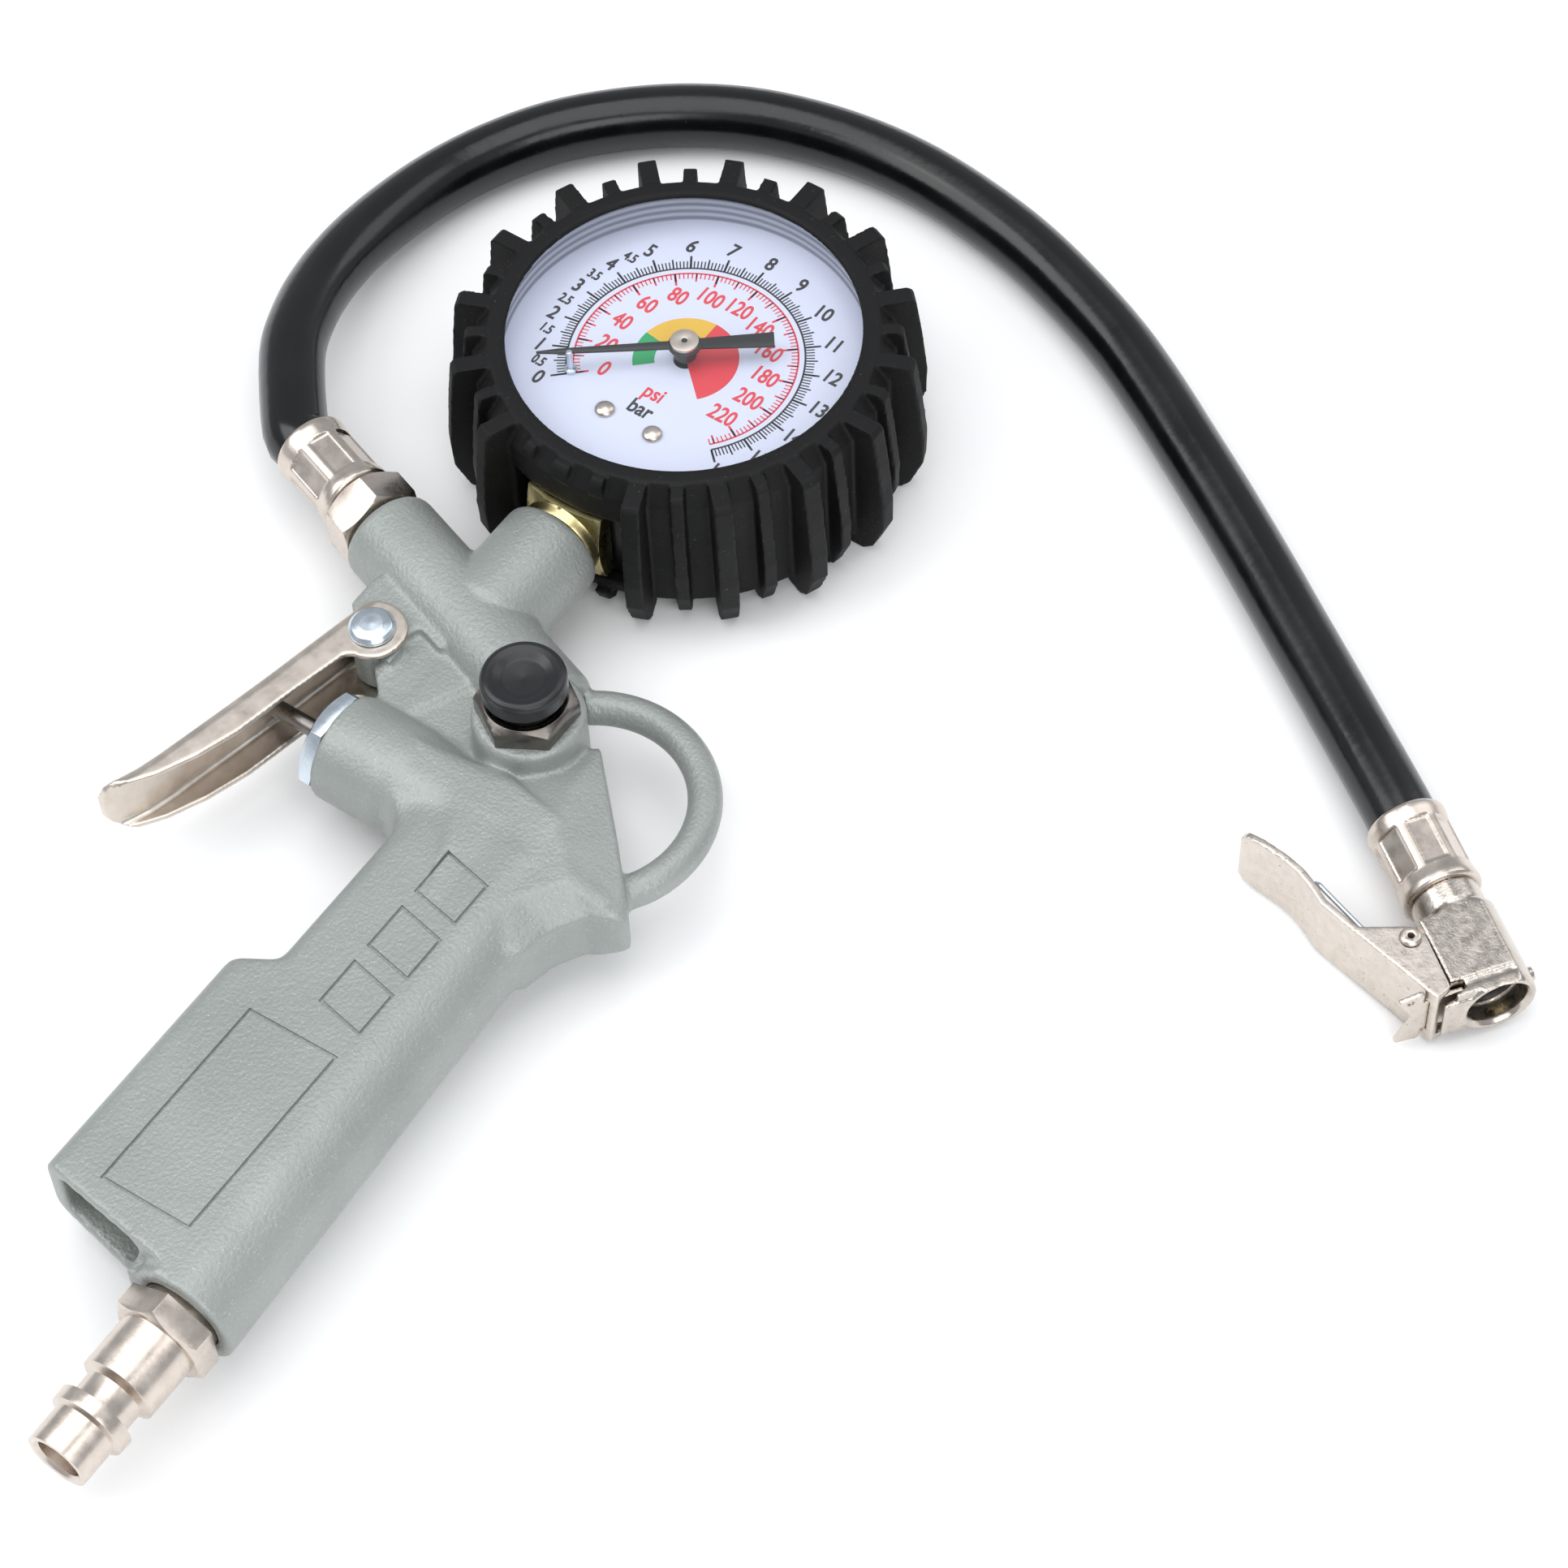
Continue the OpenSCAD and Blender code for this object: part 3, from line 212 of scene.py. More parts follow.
def smooth_shade(obj, angle=35):
    """Shades a piece smooth, but for edges sharper than this many degrees."""
    activate(obj)
    bpy.ops.object.shade_smooth_by_angle(angle=math.radians(angle))


def carve(obj, cutter):
    """Takes the cutter's form out of a piece and removes the cutter."""
    modify(obj, "BOOLEAN", object=cutter, operation="DIFFERENCE", solver="EXACT")
    bpy.data.objects.remove(cutter)


def ease(obj, place, reach, repeats):
    """Smooths a casting further round a place, most at its middle. The place is measured from
    the valve axis, in millimetres as the reach is."""
    centre = (HEAD + place) * MM
    for share in (1, 0.8, 0.6):
        edit(obj, "VERT", lambda v: (v.co - centre).length < share * reach * MM)
        bpy.ops.mesh.vertices_smooth(factor=0.5, repeat=repeats)
        leave_edit()


def recast(node, name, voxel, smoothing, keep=1.0, fills=(), cuts=(), eased=()):
    """A copy of a node as a casting or moulding: all its edges rounded over. What is filled
    or cut comes first, and the places in eased are smoothed further."""
    obj = copy_of(node, name)
    for cutter in cuts:
        carve(obj, cutter)
    if fills:
        obj = join([obj, *fills], name)
    coarse = 1
    modify(obj, "REMESH", mode="VOXEL", voxel_size=voxel * coarse * MM)
    modify(obj, "SMOOTH", factor=0.5, iterations=smoothing)
    for place, reach, repeats in eased:
        ease(obj, Vector(place), reach, repeats)
    if keep < 1:
        modify(obj, "DECIMATE", ratio=keep)
    smooth_shade(obj, 45)
    return obj


def machined(node, name, edge, segments=2):
    """A copy of a node as a machined piece: its sharp edges get a small round."""
    obj = copy_of(node, name)
    edit(obj, "VERT")
    bpy.ops.mesh.dissolve_limited(angle_limit=math.radians(0.05))
    leave_edit()
    modify(obj, "BEVEL", width=edge * MM, segments=segments, limit_method="ANGLE",
           angle_limit=math.radians(30), miter_outer="MITER_ARC")
    smooth_shade(obj, 32)
    return obj


def join(objects, name):
    """Makes one piece of several."""
    activate(objects[0])
    for obj in objects:
        obj.select_set(True)
    bpy.ops.object.join()
    return named(name)


def dress(obj, material, slot, body, *nodes):
    """Gives a new piece its material, its body and the nodes it stands for. The slot is not used."""
    obj.data.materials.clear()
    obj.data.materials.append(material)
    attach(obj, body)
    if nodes:
        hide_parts(*nodes)


def round_wire(node, voxel):
    """Live modifiers that round a CAD node's wire; its own mesh stays as it is."""
    obj = NODES[node]
    weld = obj.modifiers.new("weld", "WELD")
    weld.merge_threshold = 0.001 * MM
    skin = obj.modifiers.new("skin", "REMESH")
    skin.mode = "VOXEL"
    skin.voxel_size = voxel * MM
    skin.use_smooth_shade = True
    soften = obj.modifiers.new("soften", "SMOOTH")
    soften.iterations = 3


def paint_node(node, material):
    """Gives a CAD node's own mesh its material."""
    obj = NODES[node]
    obj.data.materials.clear()
    obj.data.materials.append(material)


# ---------- materials ----------


def rgb(hex_colour):
    """Linear colour of an sRGB hex value."""
    channels = [int(hex_colour[i:i + 2], 16) / 255 for i in (1, 3, 5)]
    return tuple(c / 12.92 if c <= 0.04045 else ((c + 0.055) / 1.055) ** 2.4 for c in channels) + (1.0,)


def add(tree, kind, links=None, props=None, **values):
    """Adds a node: props set its attributes, values and links its inputs by name or number."""
    item = tree.nodes.new(kind)
    for key, value in (props or {}).items():
        setattr(item, key, value)
    for key, value in values.items():
        item.inputs[key.replace("_", " ")].default_value = value
    for key, socket in (links or {}).items():
        tree.links.new(socket, item.inputs[key])
    return item


def new_material(name, **values):
    """An empty material with a Principled shader that has these values."""
    material = bpy.data.materials.new(name)
    material.use_nodes = True
    tree = material.node_tree
    tree.nodes.clear()
    shader = add(tree, "ShaderNodeBsdfPrincipled", **values)
    add(tree, "ShaderNodeOutputMaterial", {"Surface": shader.outputs[0]})
    place = add(tree, "ShaderNodeTexCoord")
    return material, tree, shader, {"Vector": place.outputs["Object"]}


def per_mm(size):
    """Texture scale that gives cells of this size in millimetres."""
    return 1 / (size * MM)


def cast_paint(dark, light):
    """Satin metallic enamel sprayed on a sand-textured casting: a fine pebbled skin with
    small pale dots painted into its colour as the glint of its metal flake, a little darker where the coat
    is thin."""
    material, tree, shader, place = new_material(
        "sprayed_enamel_on_cast_zinc", Metallic=0.3, Roughness=0.42, Coat_Weight=0.08, Coat_Roughness=0.3)
    patches = add(tree, "ShaderNodeTexNoise", place, Scale=per_mm(14), Detail=3.0)
    base = add(tree, "ShaderNodeMix", {"Factor": patches.outputs[0]}, {"data_type": "RGBA"},
               A=rgb(dark), B=rgb(light))
    cells = add(tree, "ShaderNodeTexVoronoi", place, Scale=per_mm(0.5))
    flake_glints = add(tree, "ShaderNodeMapRange", {"Value": cells.outputs["Distance"]},
                 From_Min=0.26, From_Max=0.1, To_Min=0.0, To_Max=1.0)
    groups = add(tree, "ShaderNodeTexNoise", place, Scale=per_mm(1.3), Detail=1.0)
    turned = add(tree, "ShaderNodeMapRange", {"Value": groups.outputs[0]},
                 From_Min=0.45, From_Max=0.66, To_Min=0.0, To_Max=0.4)
    share = add(tree, "ShaderNodeMath", {0: flake_glints.outputs[0], 1: turned.outputs[0]},
                {"operation": "MULTIPLY"})
    # Painted highlight: a share of the flake cells gets a pale glint painted into the base colour.
    lit = add(tree, "ShaderNodeMix", {"Factor": share.outputs[0], "A": base.outputs["Result"]},
              {"data_type": "RGBA"}, B=rgb("#E6ECE9"))
    tree.links.new(lit.outputs["Result"], shader.inputs["Base Color"])
    sand = add(tree, "ShaderNodeTexNoise", place, Scale=per_mm(0.62), Detail=2.0, Roughness=0.5)
    gloss = add(tree, "ShaderNodeMapRange", {"Value": sand.outputs[0]}, To_Min=0.32, To_Max=0.54)
    tree.links.new(gloss.outputs[0], shader.inputs["Roughness"])
    swell = add(tree, "ShaderNodeTexNoise", place, Scale=per_mm(3), Detail=1.0)
    low = add(tree, "ShaderNodeBump", {"Height": swell.outputs[0]}, Distance=0.03 * MM)
    skin = add(tree, "ShaderNodeBump", {"Height": sand.outputs[0], "Normal": low.outputs[0]},
               Distance=0.15 * MM)
    tree.links.new(skin.outputs[0], shader.inputs["Normal"])
    return material


def nickel_plate(name, dark, light, roughness, wear=0.06):
    """Nickel or zinc plate over pressed or turned steel: a bright metal with faint haze."""
    material, tree, shader, place = new_material(name, Metallic=1.0, Roughness=roughness)
    haze = add(tree, "ShaderNodeTexNoise", place, Scale=per_mm(2.4), Detail=4.0)
    base = add(tree, "ShaderNodeMix", {"Factor": haze.outputs[0]}, {"data_type": "RGBA"},
               A=rgb(dark), B=rgb(light))
    tree.links.new(base.outputs["Result"], shader.inputs["Base Color"])
    gloss = add(tree, "ShaderNodeMapRange", {"Value": haze.outputs[0]},
                From_Min=0.25, From_Max=0.75, To_Min=roughness - wear, To_Max=roughness + wear)
    tree.links.new(gloss.outputs[0], shader.inputs["Roughness"])
    waves = add(tree, "ShaderNodeTexNoise", place, Scale=per_mm(0.8), Detail=2.0)
    skin = add(tree, "ShaderNodeBump", {"Height": waves.outputs[0]}, Distance=0.012 * MM)
    tree.links.new(skin.outputs[0], shader.inputs["Normal"])
    return material


def cast_nickel(name, dark, light, specks, roughness):
    """Nickel plate over a rough zinc casting: dull, pitted, with small rusty specks."""
    material, tree, shader, place = new_material(name, Metallic=1.0, Roughness=roughness)
    haze = add(tree, "ShaderNodeTexNoise", place, Scale=per_mm(1.6), Detail=5.0)
    base = add(tree, "ShaderNodeMix", {"Factor": haze.outputs[0]}, {"data_type": "RGBA"},
               A=rgb(dark), B=rgb(light))
    spots = add(tree, "ShaderNodeTexNoise", place, Scale=per_mm(0.8), Detail=3.0, Roughness=0.7)
    rust = add(tree, "ShaderNodeMapRange", {"Value": spots.outputs[0]},
               From_Min=0.62, From_Max=0.7, To_Min=0.0, To_Max=specks)
    mixed = add(tree, "ShaderNodeMix", {"Factor": rust.outputs[0], "A": base.outputs["Result"]},
                {"data_type": "RGBA"}, B=rgb("#6F5A48"))
    tree.links.new(mixed.outputs["Result"], shader.inputs["Base Color"])
    gloss = add(tree, "ShaderNodeMapRange", {"Value": haze.outputs[0]},
                From_Min=0.25, From_Max=0.75, To_Min=roughness - 0.08, To_Max=roughness + 0.12)
    tree.links.new(gloss.outputs[0], shader.inputs["Roughness"])
    skin = add(tree, "ShaderNodeBump", {"Height": spots.outputs[0]}, Distance=0.05 * MM)
    tree.links.new(skin.outputs[0], shader.inputs["Normal"])
    return material


def rubber(name, dark, light, roughness, sheen, grain, relief, dust=0.0):
    """Moulded black rubber: soft sheen, faint grain and a little pale dust in the grain."""
    material, tree, shader, place = new_material(name, Roughness=roughness, IOR=1.5,
                                                 Specular_IOR_Level=sheen)
    cloud = add(tree, "ShaderNodeTexNoise", place, Scale=per_mm(9), Detail=4.0)
    base = add(tree, "ShaderNodeMix", {"Factor": cloud.outputs[0]}, {"data_type": "RGBA"},
               A=rgb(dark), B=rgb(light))
    specks = add(tree, "ShaderNodeTexNoise", place, Scale=per_mm(0.7), Detail=3.0, Roughness=0.75)
    amount = add(tree, "ShaderNodeMapRange", {"Value": specks.outputs[0]},
                 From_Min=0.66, From_Max=0.76, To_Min=0.0, To_Max=dust)
    mixed = add(tree, "ShaderNodeMix", {"Factor": amount.outputs[0], "A": base.outputs["Result"]},
                {"data_type": "RGBA"}, B=rgb("#8C8F92"))
    tree.links.new(mixed.outputs["Result"], shader.inputs["Base Color"])
    gloss = add(tree, "ShaderNodeMapRange", {"Value": cloud.outputs[0]},
                From_Min=0.25, From_Max=0.75, To_Min=roughness - 0.06, To_Max=roughness + 0.08)
    tree.links.new(gloss.outputs[0], shader.inputs["Roughness"])
    skin = add(tree, "ShaderNodeTexNoise", place, Scale=per_mm(grain), Detail=3.0, Roughness=0.6)
    relieved = add(tree, "ShaderNodeBump", {"Height": skin.outputs[0]}, Distance=relief * MM)
    tree.links.new(relieved.outputs[0], shader.inputs["Normal"])
    return material


def flat_finish(name, colour, roughness, mottle=0.03, grain=1.5, relief=0.01):
    """Plain finish, such as print or plastic, with slight mottling."""
    material, tree, shader, place = new_material(name, Roughness=roughness, Base_Color=rgb(colour))
    cloud = add(tree, "ShaderNodeTexNoise", place, Scale=per_mm(grain), Detail=3.0)
    gloss = add(tree, "ShaderNodeMapRange", {"Value": cloud.outputs[0]},
                To_Min=roughness - mottle, To_Max=roughness + mottle)
    tree.links.new(gloss.outputs[0], shader.inputs["Roughness"])
    skin = add(tree, "ShaderNodeBump", {"Height": cloud.outputs[0]}, Distance=relief * MM)
    tree.links.new(skin.outputs[0], shader.inputs["Normal"])
    return material


def turned_brass():
    """Turned brass: pale yellow metal with fine rings from the lathe, a little dull."""
    material, tree, shader, place = new_material("turned_brass", Metallic=1.0, Roughness=0.28)
    haze = add(tree, "ShaderNodeTexNoise", place, Scale=per_mm(3), Detail=4.0)
    base = add(tree, "ShaderNodeMix", {"Factor": haze.outputs[0]}, {"data_type": "RGBA"},
               A=rgb("#C2B076"), B=rgb("#F0E6B4"))
    tree.links.new(base.outputs["Result"], shader.inputs["Base Color"])
    gloss = add(tree, "ShaderNodeMapRange", {"Value": haze.outputs[0]}, To_Min=0.2, To_Max=0.36)
    tree.links.new(gloss.outputs[0], shader.inputs["Roughness"])
    rings = add(tree, "ShaderNodeTexWave", place, {"wave_type": "BANDS", "bands_direction": "X"},
                Scale=per_mm(10), Distortion=1.0)
    skin = add(tree, "ShaderNodeBump", {"Height": rings.outputs[0]}, Distance=0.006 * MM)
    tree.links.new(skin.outputs[0], shader.inputs["Normal"])
    return material


def beaded_tin():
    """Lacquered tin of the case: grey blue, in relief where it is rolled into rings, with light and dark
    bands painted along those rings as their shading.
    """
    material, tree, shader, place = new_material("lacquered_tin", Roughness=0.35)
    bead_bands_and_shade = add(tree, "ShaderNodeTexWave", place, {"wave_type": "BANDS", "bands_direction": "Z"},
                Scale=per_mm(5), Distortion=0.4)
    # Painted shade and highlight: the same bands that give the relief darken and lighten the tin's colour
    # ring by ring.
    base = add(tree, "ShaderNodeMix", {"Factor": bead_bands_and_shade.outputs[0]}, {"data_type": "RGBA"},
               A=rgb("#767C8A"), B=rgb("#B4BAC8"))
    tree.links.new(base.outputs["Result"], shader.inputs["Base Color"])
    skin = add(tree, "ShaderNodeBump", {"Height": bead_bands_and_shade.outputs[0]}, Distance=0.1 * MM)
    tree.links.new(skin.outputs[0], shader.inputs["Normal"])
    return material


def clear_plastic():
    """Moulded clear polystyrene: the dial shows clearly through it, and only its rim, seen
    at a slant, turns to a pale haze, a reflection painted into its white colour, with soft waves from the
    mould."""
    material, tree, shader, place = new_material("clear_polystyrene", Base_Color=rgb("#F4F7FA"),
                                                 Roughness=0.06, IOR=1.5)
    # Painted reflection: the white colour turns more opaque where the surface is seen at a slant.
    slant = add(tree, "ShaderNodeLayerWeight", Blend=0.5)
    body = add(tree, "ShaderNodeMapRange", {"Value": slant.outputs["Facing"]},
               From_Min=0.35, From_Max=1.0, To_Min=0.02, To_Max=0.4)
    tree.links.new(body.outputs[0], shader.inputs["Alpha"])
    waves = add(tree, "ShaderNodeTexNoise", place, Scale=per_mm(12), Detail=1.0)
    skin = add(tree, "ShaderNodeBump", {"Height": waves.outputs[0]}, Distance=0.02 * MM)
    tree.links.new(skin.outputs[0], shader.inputs["Normal"])
    return material


MATERIALS = {}


def finish_named(key):
    """Each finish is made once, on first use."""
    if key not in MATERIALS:
        look = bpy.context.scene.inflator_finish
        makers = {
            "paint": lambda: cast_paint(look.paint_dark, look.paint_light),
            "nickel": lambda: nickel_plate("bright_nickel_plate", "#BDB1A6", "#E4DAD0", 0.28),
            "pressed": lambda: nickel_plate("satin_nickel_plate", "#C0B4A8", "#E6DDD3", 0.34, 0.08),
            "chuck": lambda: cast_nickel("nickel_on_cast_zinc", "#B0A79D", "#E0D8CF", 0.38, 0.2),
            "chuck_sheet": lambda: cast_nickel("nickel_on_sheet", "#BDB3A9", "#E6DED5", 0.5, 0.3),
            "zinc": lambda: nickel_plate("blue_zinc_plate", "#BCC8D2", "#E4EDF4", 0.26),
            "dark_nickel": lambda: nickel_plate("dark_nickel_plate", "#4E4A47", "#8A847E", 0.24),
            "steel": lambda: nickel_plate("drawn_steel", "#6F6B67", "#96928E", 0.3),
            "cap": lambda: flat_finish("moulded_nylon", "#191A1C", 0.3, 0.05, 2.0, 0.03),
            "seal": lambda: rubber("nitrile_rubber", "#0E0E0F", "#1A1A1B", 0.5, 0.4, 0.8, 0.02),
            "hose": lambda: rubber("extruded_rubber", "#060708", "#0F1012", 0.2, 0.5, 2.2, 0.035, 0.1),
            "boot": lambda: rubber("moulded_boot_rubber", "#060607", "#111112", 0.6, 0.28, 0.7, 0.05, 0.25),
            "brass": turned_brass,
            "tin": beaded_tin,
            "dial": lambda: flat_finish("white_printed_tin", look.dial_white, 0.38),
            "ink_black": lambda: flat_finish("black_print", "#2A2A2C", 0.45),
            "ink_red": lambda: flat_finish("red_print", "#D93A46", 0.45),
            "ink_green": lambda: flat_finish("green_print", "#1FA060", 0.45),
            "ink_yellow": lambda: flat_finish("yellow_print", "#E0B43C", 0.45),
            "pointer": lambda: flat_finish("black_lacquer", "#17181A", 0.35),
            "window": clear_plastic,
        }
        MATERIALS[key] = makers[key]()
    return MATERIALS[key]


# ---------- settings ----------


class FinishSettings(bpy.types.PropertyGroup):
    paint_dark: bpy.props.StringProperty(
        name="Paint, shaded", description="sRGB hex colour of the body's paint where it is darker",
        default="#8E938F")
    paint_light: bpy.props.StringProperty(
        name="Paint, lit", description="sRGB hex colour of the body's paint where it is lighter",
        default="#A5AAA6")
    dial_white: bpy.props.StringProperty(
        name="Dial", description="sRGB hex colour of the dial's ground", default="#D2D8EC")


class HoseSettings(bpy.types.PropertyGroup):
    diameter: bpy.props.FloatProperty(
        name="Hose diameter", description="Outer diameter of the rubber hose",
        default=10.8 * MM, min=0.008, max=0.014, unit="LENGTH")


class DialSettings(bpy.types.PropertyGroup):
    zero_angle: bpy.props.FloatProperty(
        name="Zero", description="Turn of the scale's zero from the top of the dial",
        default=math.radians(132.4), subtype="ANGLE")
    bar_range: bpy.props.IntProperty(
        name="Range", description="Last value of the outer scale, in bar", default=16, min=4, max=25)
    print_height: bpy.props.FloatProperty(
        name="Print", description="Height of the printed ink over the dial",
        default=0.03 * MM, unit="LENGTH")


class StageSettings(bpy.types.PropertyGroup):
    lens: bpy.props.FloatProperty(
        name="Lens", description="Focal length of the camera on a 36 mm sensor", default=102.5,
        min=20, max=300)
    floor_white: bpy.props.StringProperty(
        name="Floor", description="sRGB hex colour of the floor", default="#FDFDFD")


# ---------- stage ----------


class INFLATOR_OT_stage(bpy.types.Operator):
    """Pale floor, soft lamps and the camera"""

    bl_idname = "inflator.stage"
    bl_label = "Stage"

    def camera(self, scene):
        """The view, set by its axes and its place."""
        right = Vector((0.57050, -0.82075, -0.03001))
        up = Vector((0.68527, 0.45555, 0.56823))
        back = Vector((-0.45270, -0.34474, 0.82233))
        bpy.ops.object.camera_add()
        camera = named("camera")
        camera.matrix_world = Matrix.Translation((-0.1564, -0.25034, 0.5526)) @ Matrix(
            (right, up, back)).transposed().to_4x4()
        camera.data.sensor_width = 36
        camera.data.lens = scene.inflator_stage.lens
        camera.data.clip_start = 0.01
        scene.camera = camera

    def floor(self, scene):
        """White paper under the object, with very wide and faint clouds."""
        bpy.ops.mesh.primitive_plane_add(size=6, location=(0.1, 0, (FLOOR_Z - 0.1) * MM))
        floor = named("floor")
        material, tree, shader, place = new_material("paper_floor", Roughness=0.9,
                                                     Specular_IOR_Level=0.2)
        cloud = add(tree, "ShaderNodeTexNoise", place, Scale=per_mm(300), Detail=1.0)
        tone = add(tree, "ShaderNodeMix", {"Factor": cloud.outputs[0]}, {"data_type": "RGBA"},
                   A=rgb(scene.inflator_stage.floor_white), B=rgb("#FFFFFF"))
        tree.links.new(tone.outputs["Result"], shader.inputs["Base Color"])
        floor.data.materials.append(material)

    def lamps(self):
        """Four large soft lamps, all aimed at the middle of the object."""
        middle = Vector((0.12, 0, 0))
        # Name, place, width and height in metres, power in watts.
        lamps = (
            ("key", (-0.35, 0.75, 0.95), 0.9, 0.7, 5.2),
            ("top", (0.15, 0.1, 1.35), 1.2, 1.2, 8.6),
            ("side", (0.95, -0.35, 0.7), 0.5, 0.9, 1.7),
            ("front", (-0.35, -0.75, 0.75), 0.8, 0.8, 5.0),
        )
        for name, at, width, height, power in lamps:
            bpy.ops.object.light_add(type="AREA", location=at)
            lamp = named(name)
            lamp.data.shape = "RECTANGLE"
            lamp.data.size = width
            lamp.data.size_y = height
            lamp.data.energy = power
            aim = middle - Vector(at)
            lamp.rotation_euler = aim.to_track_quat("-Z", "Y").to_euler()

    def world(self, scene):
        """Surroundings: white where the camera sees them, dimmer for what they light."""
        world = bpy.data.worlds.new("studio")
        scene.world = world
        world.use_nodes = True
        tree = world.node_tree
        tree.nodes.clear()
        rays = add(tree, "ShaderNodeLightPath")
        dim = add(tree, "ShaderNodeBackground", Color=rgb("#E8ECF2"), Strength=0.58)
        white = add(tree, "ShaderNodeBackground", Color=rgb("#FFFFFF"), Strength=1.0)
        mixed = add(tree, "ShaderNodeMixShader",
                    {0: rays.outputs["Is Camera Ray"], 1: dim.outputs[0], 2: white.outputs[0]})
        add(tree, "ShaderNodeOutputWorld", {"Surface": mixed.outputs[0]})

    def execute(self, context):
        self.camera(context.scene)
        self.floor(context.scene)
        self.lamps()
        self.world(context.scene)
        context.scene.view_settings.view_transform = "Standard"
        return {"FINISHED"}


# ---------- hose ----------


class INFLATOR_OT_hose(bpy.types.Operator):
    """Rubber hose along its route, with its crimped ferrules"""

    bl_idname = "inflator.hose"
    bl_label = "Hose and ferrules"

    def execute(self, context):
        line = hose_line()
        bpy.ops.curve.primitive_bezier_curve_add()
        obj = named("rubber_hose")
        curve = obj.data
        curve.splines.clear()
        spline = curve.splines.new("POLY")
        spline.points.add(len(line) - 1)
        for point, at in zip(spline.points, line):
            point.co = (*at, 1)
        curve.dimensions = "3D"
        curve.bevel_depth = context.scene.inflator_hose.diameter / 2 - 0.02 * MM
        curve.bevel_resolution = 10
        curve.use_fill_caps = True
        activate(obj)
        bpy.ops.object.convert(target="MESH")
        obj = named("rubber_hose")
        settle(obj)
        smooth_shade(obj, 45)
        dress(obj, finish_named("hose"), "hose_rubber", "gun", "hose")
        for node in ("gun_ferrule", "chuck_ferrule"):
            ring = recast(node, node + "_crimped", voxel=0.17, smoothing=8)
            dress(ring, finish_named("nickel"), "nickel", "gun", node)
        return {"FINISHED"}


# ---------- body ----------


def face_frame(outline, width, name):
    """Cutter for a shallow line round an outline on the grip's face."""
    bpy.ops.mesh.primitive_plane_add(size=2)
    obj = named(name)
    places = sorted(obj.data.vertices, key=lambda v: math.atan2(v.co.y, v.co.x))
    order = [v.index for v in places]
    for index, corner in zip(order, outline):
        edit(obj, "VERT", lambda v, index=index: v.index == index)
        at = obj.data.vertices[index].co
        bpy.ops.transform.translate(value=(corner[0] - at.x, corner[1] - at.y, 0))
        leave_edit()
    edit(obj, "FACE")
    bpy.ops.mesh.inset(thickness=width)
    bpy.ops.mesh.delete(type="FACE")
    leave_edit()
    edit(obj, "FACE")
    bpy.ops.mesh.extrude_region_move(TRANSFORM_OT_translate={"value": (0, 0, 3)})
    bpy.ops.mesh.select_all(action="SELECT")
    bpy.ops.mesh.normals_make_consistent(inside=False)
    leave_edit()
    return obj


